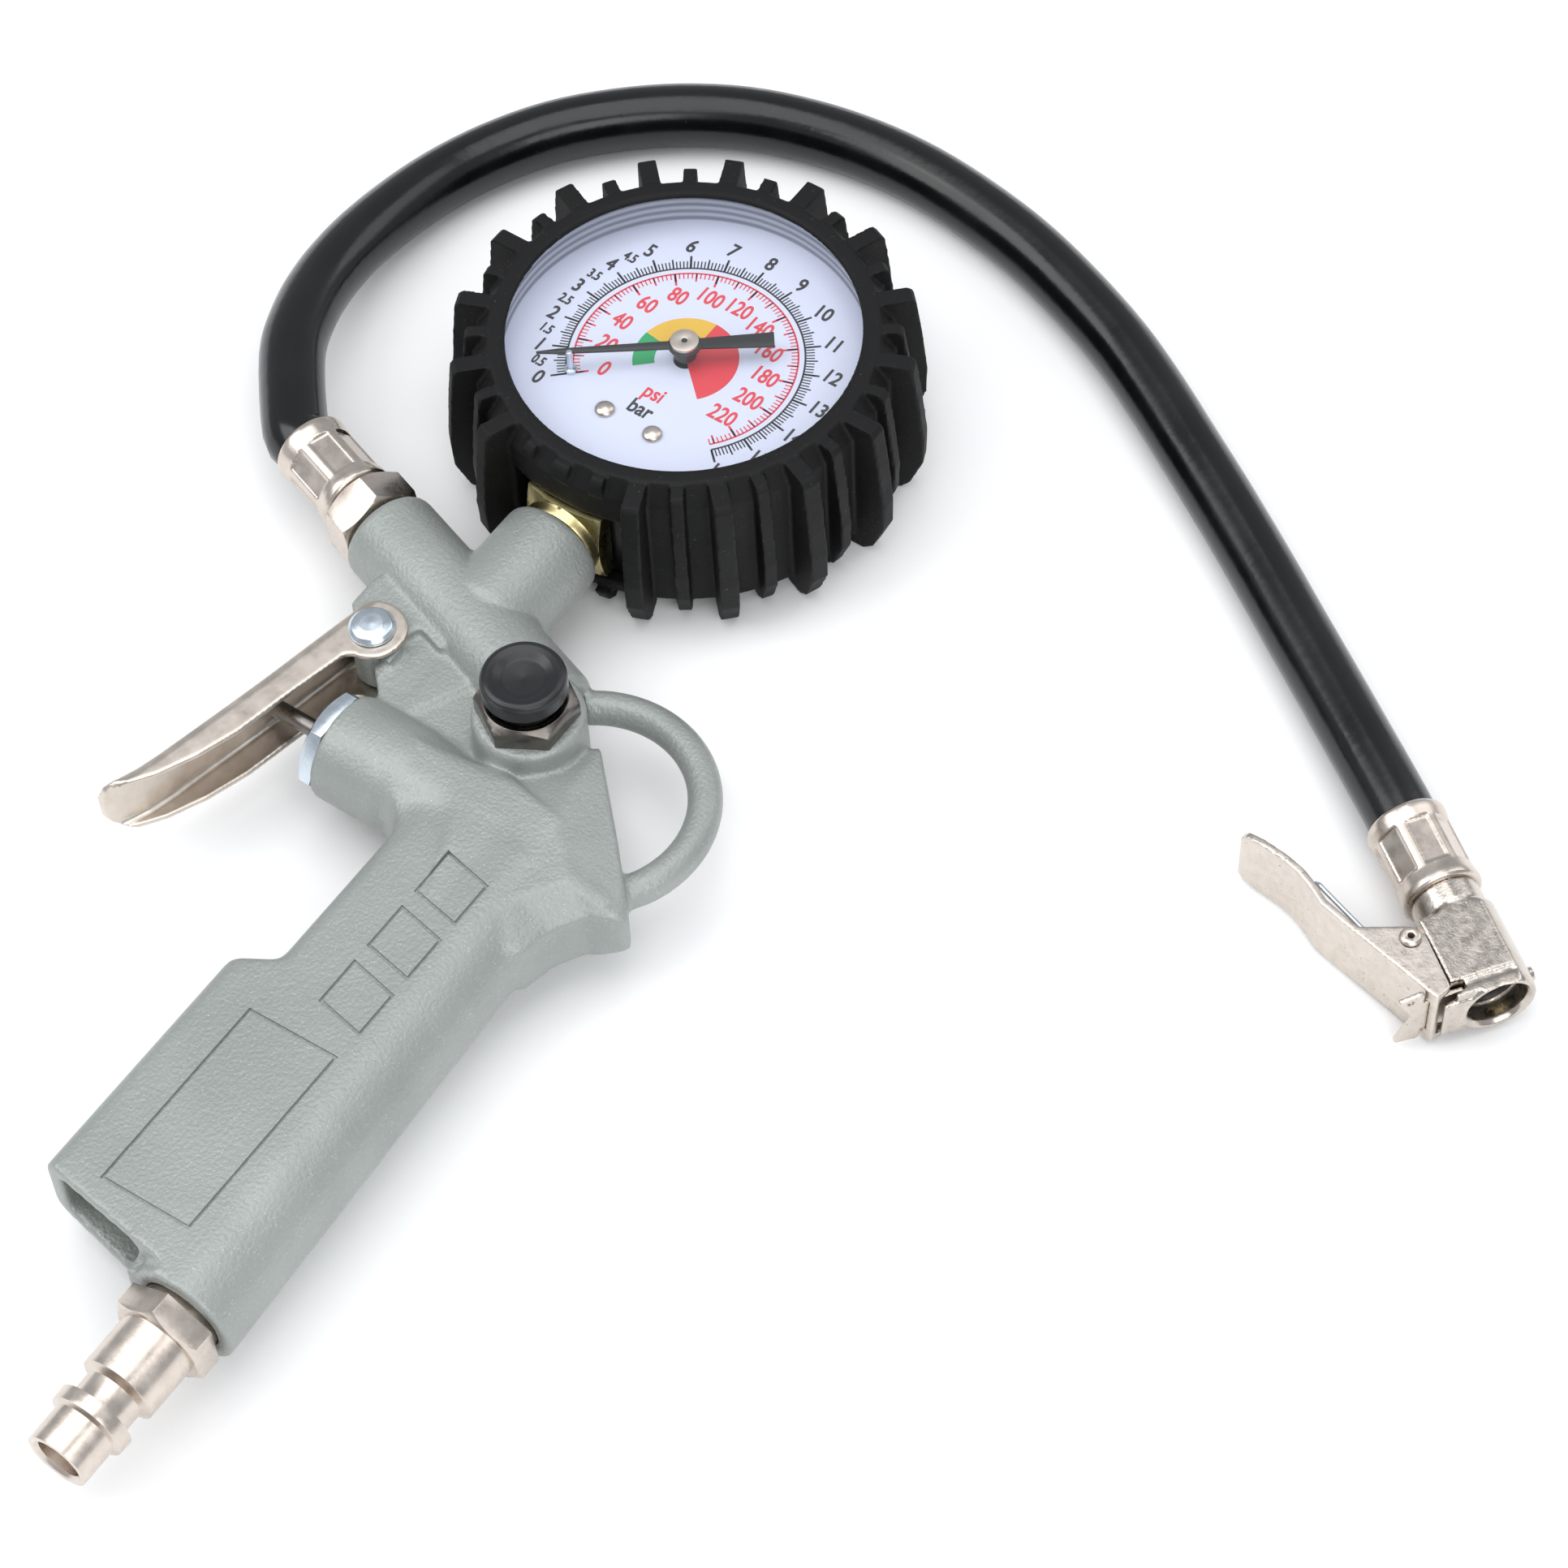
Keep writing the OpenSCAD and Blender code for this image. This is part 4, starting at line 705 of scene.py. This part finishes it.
class INFLATOR_OT_body(bpy.types.Operator):
    """Cast body with rounded edges and the shallow lines on its grip"""

    bl_idname = "inflator.body"
    bl_label = "Cast body"

    line_depth = 0.42
    line_width = 0.55
    squares_start = HEAD.x - 42.5

    def on_face(self, obj, height):
        """Lays an object, drawn flat in millimetres, on the grip's leaning face."""
        lean = math.asin((GRIP_R - GRIP_EDGE) / GRIP_FRONT)
        obj.matrix_world = (Matrix.Scale(MM, 4) @ Matrix.Rotation(-lean, 4, "X")
                            @ Matrix.Translation((0, 0, height)))
        settle(obj)

    def face_fills(self):
        """Blocks that level the sunk panels of the solid, so that only lines are left."""
        fills = []
        long_panel = (INLET_END + 7.2, HEAD.x - 46.5, 2.2, 20.3)
        squares = (self.squares_start - 1, HEAD.x - 9, 2.2, 12.8)
        for x0, x1, y0, y1 in (long_panel, squares):
            bpy.ops.mesh.primitive_cube_add(
                size=1, location=((x0 + x1) / 2, (y0 + y1) / 2, -0.5), scale=(x1 - x0, y1 - y0, 1))
            fill = named("face_fill")
            settle(fill)
            self.on_face(fill, GRIP_R)
            fills.append(fill)
        return fills

    def root_fill(self):
        """Cone that fills the notch between the valve boss and the column behind it."""
        start, end = 13, 29                  # along the boss, from the valve axis
        bpy.ops.mesh.primitive_cone_add(
            vertices=96, radius1=6.5 * MM, radius2=8.7 * MM, depth=(end - start) * MM,
            location=(HEAD.x * MM, (start + end) / 2 * MM, 0), rotation=(-math.pi / 2, 0, 0))
        root = named("boss_root")
        settle(root)
        return root

    def pivot_cuts(self):
        """Blocks that take the step under the trigger's pivot down to the web."""
        cuts = []
        tall, deep = 6, 4
        inner = 3.4                          # just under the web's side
        for x, y, width, turn in ((14.3, 39.4, 8.6, 0), (18.8, 40.3, 4.2, -18.5)):
            for side in (-1, 1):
                z = side * (inner + deep / 2)
                bpy.ops.mesh.primitive_cube_add(
                    size=1, location=((HEAD.x + x) * MM, y * MM, z * MM),
                    scale=(width * MM, tall * MM, deep * MM), rotation=(0, 0, math.radians(turn)))
                cutter = named("pivot_step")
                settle(cutter)
                cuts.append(cutter)
        return cuts

    def thin_spur(self, obj):
        """Makes the spur thinner towards its tip."""
        tip = (HEAD + SPUR) * MM
        for reach, share in ((6.5, 0.92), (5, 0.9), (3.5, 0.9)):
            edit(obj, "VERT", lambda v: (v.co - tip).length < reach * MM)
            bpy.ops.transform.resize(value=(1, 1, share), center_override=tip)
            leave_edit()
        ease(obj, SPUR + Vector((0, 1, 0)), 7.5, 3)

    def draw_lines(self, obj):
        """Cuts the grip's fine lines: one long panel and three leaning squares."""
        near, far = INLET_END + 8.2, HEAD.x - 47.5
        low, high = 2.9, 19.5
        outlines = [[(near, low), (far, low), (far, high), (near, high)]]
        low, high, pitch = 2.5, 11.6, 11.3
        for i in range(3):
            x = self.squares_start - 0.7 + pitch * i
            outlines.append([(x, low), (x + 8.4, low), (x + 10.4, high), (x + 1.9, high)])
        cutters = []
        for i, outline in enumerate(outlines):
            cutter = face_frame(outline, self.line_width, f"line_{i}")
            self.on_face(cutter, GRIP_R - self.line_depth)
            cutters.append(cutter)
        carve(obj, join(cutters, "face_lines"))

    def execute(self, context):
        boss_root = [((x, 20, z), 8, 12) for x in (-6, 6) for z in (-6, 6)]
        crease = [((-3, 4.5, z), 5, 10) for z in (-8.3, 8.3)]
        grip_end = [((-17.5, -6, 0), 7.5, 14)]
        obj = recast("body_casting", "cast_body", voxel=0.42, smoothing=7, keep=0.42,
                     fills=[self.root_fill(), *self.face_fills()], cuts=self.pivot_cuts(),
                     eased=boss_root + crease + grip_end)
        self.thin_spur(obj)
        self.draw_lines(obj)
        smooth_shade(obj, 40)
        dress(obj, finish_named("paint"), "body_paint", "gun", "body_casting")
        return {"FINISHED"}


class INFLATOR_OT_boot(bpy.types.Operator):
    """Ribbed rubber boot round the gauge"""

    bl_idname = "inflator.boot"
    bl_label = "Gauge boot"

    def execute(self, context):
        obj = recast("gauge_boot", "moulded_boot", voxel=0.3, smoothing=2, keep=0.3)
        dress(obj, finish_named("boot"), "boot_rubber", "gun", "gauge_boot")
        return {"FINISHED"}


class INFLATOR_OT_trigger(bpy.types.Operator):
    """Pressed trigger with its rivet, plug and push pin"""

    bl_idname = "inflator.trigger"
    bl_label = "Trigger and valve"

    def execute(self, context):
        lever = recast("trigger_lever", "pressed_trigger", voxel=0.24, smoothing=5)
        dress(lever, finish_named("pressed"), "nickel", "trigger", "trigger_lever")
        rivet = recast("trigger_rivet", "domed_rivet", voxel=0.1, smoothing=16)
        dress(rivet, finish_named("zinc"), "zinc_steel", "gun", "trigger_rivet")
        plug = machined("valve_plug", "hexagon_plug", edge=0.3)
        dress(plug, finish_named("zinc"), "zinc_steel", "gun", "valve_plug")
        pin = machined("valve_stem", "push_pin", edge=0.1)
        dress(pin, finish_named("steel"), "zinc_steel", "valve", "valve_stem")
        return {"FINISHED"}


class INFLATOR_OT_button(bpy.types.Operator):
    """Release button with its cap and nut"""

    bl_idname = "inflator.button"
    bl_label = "Release button"

    def execute(self, context):
        cap = recast("release_button", "button_cap", voxel=0.15, smoothing=6)
        dress(cap, finish_named("cap"), "button_black", "release", "release_button")
        nut = machined("release_nut", "bevelled_nut", edge=0.5, segments=3)
        dress(nut, finish_named("dark_nickel"), "dark_nickel", "gun", "release_nut")
        return {"FINISHED"}


class INFLATOR_OT_inlet(bpy.types.Operator):
    """Plug-in nipple and the hose's hexagon fitting"""

    bl_idname = "inflator.inlet"
    bl_label = "Nipple and fitting"

    def execute(self, context):
        for node, name, edge, finish, slot in (
                ("inlet_nipple", "turned_nipple", 0.3, "nickel", "nickel"),
                ("nipple_seal", "sealing_ring", 0.15, "seal", "seal_rubber"),
                ("hose_fitting", "hexagon_fitting", 0.35, "nickel", "nickel"),
                ("gauge_socket", "square_socket", 0.4, "brass", "brass")):
            obj = machined(node, name, edge, segments=3)
            dress(obj, finish_named(finish), slot, "gun", node)
        # The ring is drawn in to lie flush in the nipple's groove.
        ring = bpy.data.objects["sealing_ring"]
        low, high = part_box("nipple_seal")
        edit(ring, "VERT")
        bpy.ops.transform.resize(value=(1, 0.88, 0.88), center_override=(low + high) / 2)
        leave_edit()
        return {"FINISHED"}


class INFLATOR_OT_chuck(bpy.types.Operator):
    """Lever-locked air chuck on the hose's end"""

    bl_idname = "inflator.chuck"
    bl_label = "Chuck"

    def execute(self, context):
        body = recast("chuck_body", "chuck_casting", voxel=0.2, smoothing=3)
        dress(body, finish_named("chuck"), "chuck_nickel", "gun", "chuck_body")
        lever = recast("chuck_lever", "chuck_thumb_lever", voxel=0.2, smoothing=4)
        dress(lever, finish_named("chuck_sheet"), "chuck_nickel", "chuck_lever", "chuck_lever")
        claw = recast("chuck_claw", "chuck_hook", voxel=0.15, smoothing=3)
        dress(claw, finish_named("chuck_sheet"), "chuck_nickel", "chuck_lever", "chuck_claw")
        for node, name, edge, finish, slot in (
                ("chuck_rivet", "hollow_rivet", 0.12, "nickel", "nickel"),
                ("chuck_seal", "chuck_washer", 0.15, "seal", "seal_rubber"),
                ("core_depressor", "brass_depressor", 0.1, "brass", "brass")):
            obj = machined(node, name, edge)
            dress(obj, finish_named(finish), slot, "gun", node)
        paint_node("chuck_spring", finish_named("zinc"))
        round_wire("chuck_spring", 0.16)
        return {"FINISHED"}


# ---------- gauge ----------


def dial_place():
    """Centre of the dial's face, in metres."""
    low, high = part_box("dial_plate")
    return Vector(((low.x + high.x) / 2, (low.y + high.y) / 2, high.z))


def swept(name, inner, outer, start, end, face, height, steps):
    """Printed part of a ring between two radii in millimetres and two angles from +X."""
    bpy.ops.mesh.primitive_plane_add(size=1)
    obj = named(name)
    obj.scale = ((outer - inner) * MM, 0.001 * MM, 1)
    obj.location = ((inner + outer) / 2 * MM, 0, 0)
    settle(obj)
    edit(obj, "VERT", lambda v: v.co.y > 0)
    bpy.ops.mesh.delete(type="VERT")
    bpy.ops.mesh.select_all(action="SELECT")
    bpy.ops.mesh.spin(steps=steps, angle=math.radians(start - end), center=(0, 0, 0), axis=(0, 0, 1))
    leave_edit()
    merge(obj, 0.002)
    edit(obj, "FACE")
    bpy.ops.mesh.normals_make_consistent(inside=False)
    leave_edit()
    if obj.data.polygons[0].normal.z < 0:
        edit(obj, "FACE")
        bpy.ops.mesh.flip_normals()
        leave_edit()
    modify(obj, "SOLIDIFY", thickness=height, offset=1)
    obj.rotation_euler = (0, 0, math.radians(start))
    obj.location = face
    settle(obj)
    return obj


def ticks(inner, outer, width, start, end, count, face, height):
    """Radial tick marks, spaced evenly from one angle to the other."""
    bpy.ops.mesh.primitive_cube_add(size=1)
    obj = named("ticks")
    obj.scale = ((outer - inner) * MM, width * MM, height)
    obj.location = ((inner + outer) / 2 * MM, 0, height / 2)
    settle(obj)
    edit(obj, "FACE")
    bpy.ops.mesh.spin(steps=count, dupli=True, angle=math.radians(start - end), center=(0, 0, 0),
                      axis=(0, 0, 1))
    leave_edit()
    obj.rotation_euler = (0, 0, math.radians(start))
    obj.location = face
    settle(obj)
    return obj


def label(text, angle, face, height, radius, size, narrow=0.8):
    """Upright printed word, read towards -Y with its top at +X, with digits of this size."""
    bpy.ops.object.text_add()
    obj = named("label")
    obj.data.body = text
    obj.data.align_x = "CENTER"
    obj.data.align_y = "CENTER"
    obj.data.size = size * MM * 1.38         # the font's digits are lower than its size
    obj.data.extrude = height / 2
    obj.data.resolution_u = 4
    bpy.ops.object.convert(target="MESH")
    obj = bpy.context.object
    obj.scale = (narrow, 1, 1)
    obj.rotation_euler = (0, 0, -math.pi / 2)
    away = radius * MM * direction(angle)
    obj.location = face + Vector((away.x, away.y, height / 2))
    settle(obj)
    return obj


def bolder(obj, amount):
    """Thickens printed strokes with copies shifted by this many millimetres."""
    for axis, lift in ((0, 0.004), (1, 0.008)):
        shift = [0, 0, lift * MM]
        shift[axis] = amount * MM
        modify(obj, "ARRAY", count=2, use_relative_offset=False, use_constant_offset=True,
               constant_offset_displace=shift)
    obj.location = (-amount / 2 * MM, -amount / 2 * MM, 0)
    settle(obj)
    return obj


class INFLATOR_OT_dial(bpy.types.Operator):
    """Dial with its two printed scales and coloured sector"""

    bl_idname = "inflator.dial"
    bl_label = "Dial"

    bar_ring = 19                            # radii in millimetres
    psi_ring = 17.9
    sector = 8.5
    green_end = 3                            # readings in bar
    yellow_end = 8

    def angle(self, dial, bar):
        """Place of a reading in bar on both scales, in degrees from +X."""
        zero = math.degrees(dial.zero_angle)
        return zero - 2 * zero / dial.bar_range * bar

    def ring(self, dial, radius, face, height):
        """Thin line along a whole scale."""
        half = 0.15
        return swept("ring", radius - half, radius + half, self.angle(dial, 0),
                     self.angle(dial, dial.bar_range), face, height, 96)

    def print_bar(self, dial, face, height):
        """Outer scale in bar with its ring, its three kinds of ticks and its numbers."""
        zero, end = self.angle(dial, 0), self.angle(dial, dial.bar_range)
        foot = self.bar_ring
        marks = [self.ring(dial, foot, face, height)]
        for length, width, each in ((1.5, 0.22, 10), (2, 0.26, 2), (2.6, 0.36, 1)):
            marks.append(ticks(foot, foot + length, width, zero, end, dial.bar_range * each, face, height))
        numbers = [label("bar", 180, face, height, radius=12.3, size=2.9)]
        for value in range(dial.bar_range + 1):
            at = self.angle(dial, value)
            numbers.append(label(str(value), at, face, height, radius=23.6, size=2.8))
        for value in (0.5, 1.5, 2.5, 3.5, 4.5):
            at = self.angle(dial, value)
            numbers.append(label(str(value), at, face, height, radius=23.4, size=1.9, narrow=0.7))
        marks.append(bolder(join(numbers, "numbers"), 0.13))
        obj = join(marks, "dial_print_black")
        dress(obj, finish_named("ink_black"), "pointer_black", "gun")

    def print_psi(self, dial, face, height):
        """Inner scale in psi, and the red part of the coloured sector."""
        zero, end = self.angle(dial, 0), self.angle(dial, dial.bar_range)
        top = self.psi_ring
        last = int(dial.bar_range / BAR_PER_PSI)
        marks = [self.ring(dial, top, face, height)]
        for length, width, step in ((1.1, 0.2, 2), (1.7, 0.3, 10), (2.4, 0.38, 20)):
            count = last // step
            last_tick = self.angle(dial, BAR_PER_PSI * step * count)
            marks.append(ticks(top - length, top, width, zero, last_tick, count, face, height))
        red_start = self.angle(dial, self.yellow_end)
        marks.append(swept("high", 0.6, self.sector, red_start, end, face, height, 48))
        numbers = [label("psi", 180, face, height, radius=8.6, size=2.9)]
        for value in range(0, last + 1, 20):
            at = self.angle(dial, BAR_PER_PSI * value)
            numbers.append(label(str(value), at, face, height, radius=13.1, size=3.1, narrow=0.72))
        marks.append(bolder(join(numbers, "numbers"), 0.12))
        obj = join(marks, "dial_print_red")
        dress(obj, finish_named("ink_red"), "dial_white", "gun")

    def print_sector(self, dial, face, height):
        """Green and yellow parts of the coloured sector."""
        zero, green_end, yellow_end = (self.angle(dial, bar) for bar in (0, self.green_end, self.yellow_end))
        green = swept("dial_print_green", 5, self.sector, zero, green_end, face, height, 24)
        dress(green, finish_named("ink_green"), "dial_white", "gun")
        yellow = swept("dial_print_yellow", 4, self.sector, green_end, yellow_end, face, height, 32)
        dress(yellow, finish_named("ink_yellow"), "dial_white", "gun")

    def execute(self, context):
        dial = context.scene.inflator_dial
        face, height = dial_place(), dial.print_height
        self.print_bar(dial, face, height)
        self.print_psi(dial, face, height)
        self.print_sector(dial, face, height)
        plate = copy_of("dial_plate", "printed_dial")
        smooth_shade(plate)
        dress(plate, finish_named("dial"), "dial_white", "gun", "dial_plate")
        return {"FINISHED"}


class INFLATOR_OT_gauge(bpy.types.Operator):
    """Pointer, screws, stop pin, window and case"""

    bl_idname = "inflator.gauge"
    bl_label = "Pointer and window"

    def hub(self, face):
        """Turned hub over the pointer, with the shaft's end in a small sunk ring."""
        thickness, middle = 1, 4.15
        bpy.ops.mesh.primitive_cylinder_add(vertices=64, radius=2.3 * MM, depth=thickness * MM,
                                            location=face + Vector((0, 0, middle * MM)))
        hub = named("nickel_hub")
        settle(hub)
        below_top = face.z + (middle + thickness / 2 - 0.05) * MM
        edit(hub, "FACE", lambda f: f.center.z > below_top)
        bpy.ops.mesh.inset(thickness=1.8 * MM)
        bpy.ops.mesh.inset(thickness=0.1 * MM)
        bpy.ops.transform.translate(value=(0, 0, -0.2 * MM))
        leave_edit()
        modify(hub, "BEVEL", width=0.15 * MM, segments=3, limit_method="ANGLE", angle_limit=0.6)
        smooth_shade(hub, 32)
        dress(hub, finish_named("pressed"), "zinc_steel", "pointer")

    def screws(self, face):
        """Two low domes for the heads of the dial's screws."""
        radius, in_from_end, rise = 1.65, 1.7, 0.2
        low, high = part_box("dial_screws")
        domes = []
        for y in (low.y + in_from_end * MM, high.y - in_from_end * MM):
            bpy.ops.mesh.primitive_uv_sphere_add(
                segments=48, ring_count=24, radius=radius * MM, scale=(1, 1, 0.5),
                location=((low.x + high.x) / 2, y, face.z + rise * MM))
            dome = named("screw_head")
            settle(dome)
            domes.append(dome)
        screws = join(domes, "domed_screws")
        smooth_shade(screws)
        dress(screws, finish_named("nickel"), "zinc_steel", "gun", "dial_screws")

    def case(self, face):
        """Drawn case: beaded tin inside, black lacquer on its outside."""
        case = machined("gauge_case", "drawn_case", edge=0.2)
        dress(case, finish_named("tin"), "zinc_steel", "gun", "gauge_case")
        case.data.materials.append(finish_named("pointer"))
        for side in case.data.polygons:
            away = side.center.xy - face.xy
            side.material_index = int(side.normal.xy.dot(away.normalized()) > 0.5)

    def execute(self, context):
        face = dial_place()
        needle = machined("pointer", "lacquered_pointer", edge=0.08)
        dress(needle, finish_named("pointer"), "pointer_black", "pointer", "pointer")
        self.hub(face)
        self.screws(face)
        stop = machined("stop_pin", "zero_stop", edge=0.1)
        dress(stop, finish_named("zinc"), "zinc_steel", "gun", "stop_pin")
        glass = machined("gauge_window", "clear_window", edge=0.2, segments=3)
        dress(glass, finish_named("window"), "window", "gun", "gauge_window")
        self.case(face)
        return {"FINISHED"}


class INFLATOR_OT_inside(bpy.types.Operator):
    """Finishes of the pieces inside"""

    bl_idname = "inflator.inside"
    bl_label = "Pieces inside"

    def execute(self, context):
        finishes = {
            "steel": ("valve_spring", "release_stem", "release_spring", "pinion_shaft", "tube_link"),
            "seal": ("valve_poppet",),
            "brass": ("bourdon_tube", "movement_frame", "sector_gear"),
        }
        for key, nodes in finishes.items():
            for node in nodes:
                paint_node(node, finish_named(key))
        return {"FINISHED"}


OPERATORS = (
    INFLATOR_OT_stage, INFLATOR_OT_hose, INFLATOR_OT_body, INFLATOR_OT_boot, INFLATOR_OT_trigger,
    INFLATOR_OT_button, INFLATOR_OT_inlet, INFLATOR_OT_chuck, INFLATOR_OT_dial, INFLATOR_OT_gauge,
    INFLATOR_OT_inside,
)
SETTINGS = {
    "inflator_finish": FinishSettings,
    "inflator_hose": HoseSettings,
    "inflator_dial": DialSettings,
    "inflator_stage": StageSettings,
}


class INFLATOR_PT_panel(bpy.types.Panel):
    """Lists the steps that dress the inflator"""

    bl_idname = "INFLATOR_PT_panel"
    bl_label = "Tire inflator"
    bl_space_type = "VIEW_3D"
    bl_region_type = "UI"
    bl_category = "Inflator"

    def draw(self, context):
        for name, group in SETTINGS.items():
            for prop in group.__annotations__:
                self.layout.prop(getattr(context.scene, name), prop)
        for operator in OPERATORS:
            self.layout.operator(operator.bl_idname)


def register():
    for group in SETTINGS.values():
        bpy.utils.register_class(group)
    for name, group in SETTINGS.items():
        setattr(bpy.types.Scene, name, bpy.props.PointerProperty(type=group))
    for item in (*OPERATORS, INFLATOR_PT_panel):
        bpy.utils.register_class(item)


def unregister():
    for item in (INFLATOR_PT_panel, *reversed(OPERATORS)):
        bpy.utils.unregister_class(item)
    for name, group in SETTINGS.items():
        delattr(bpy.types.Scene, name)
        bpy.utils.unregister_class(group)


def main():
    register()
    for operator in OPERATORS:
        group, name = operator.bl_idname.split(".")
        getattr(getattr(bpy.ops, group), name)()


if __name__ == "__main__":
    main()
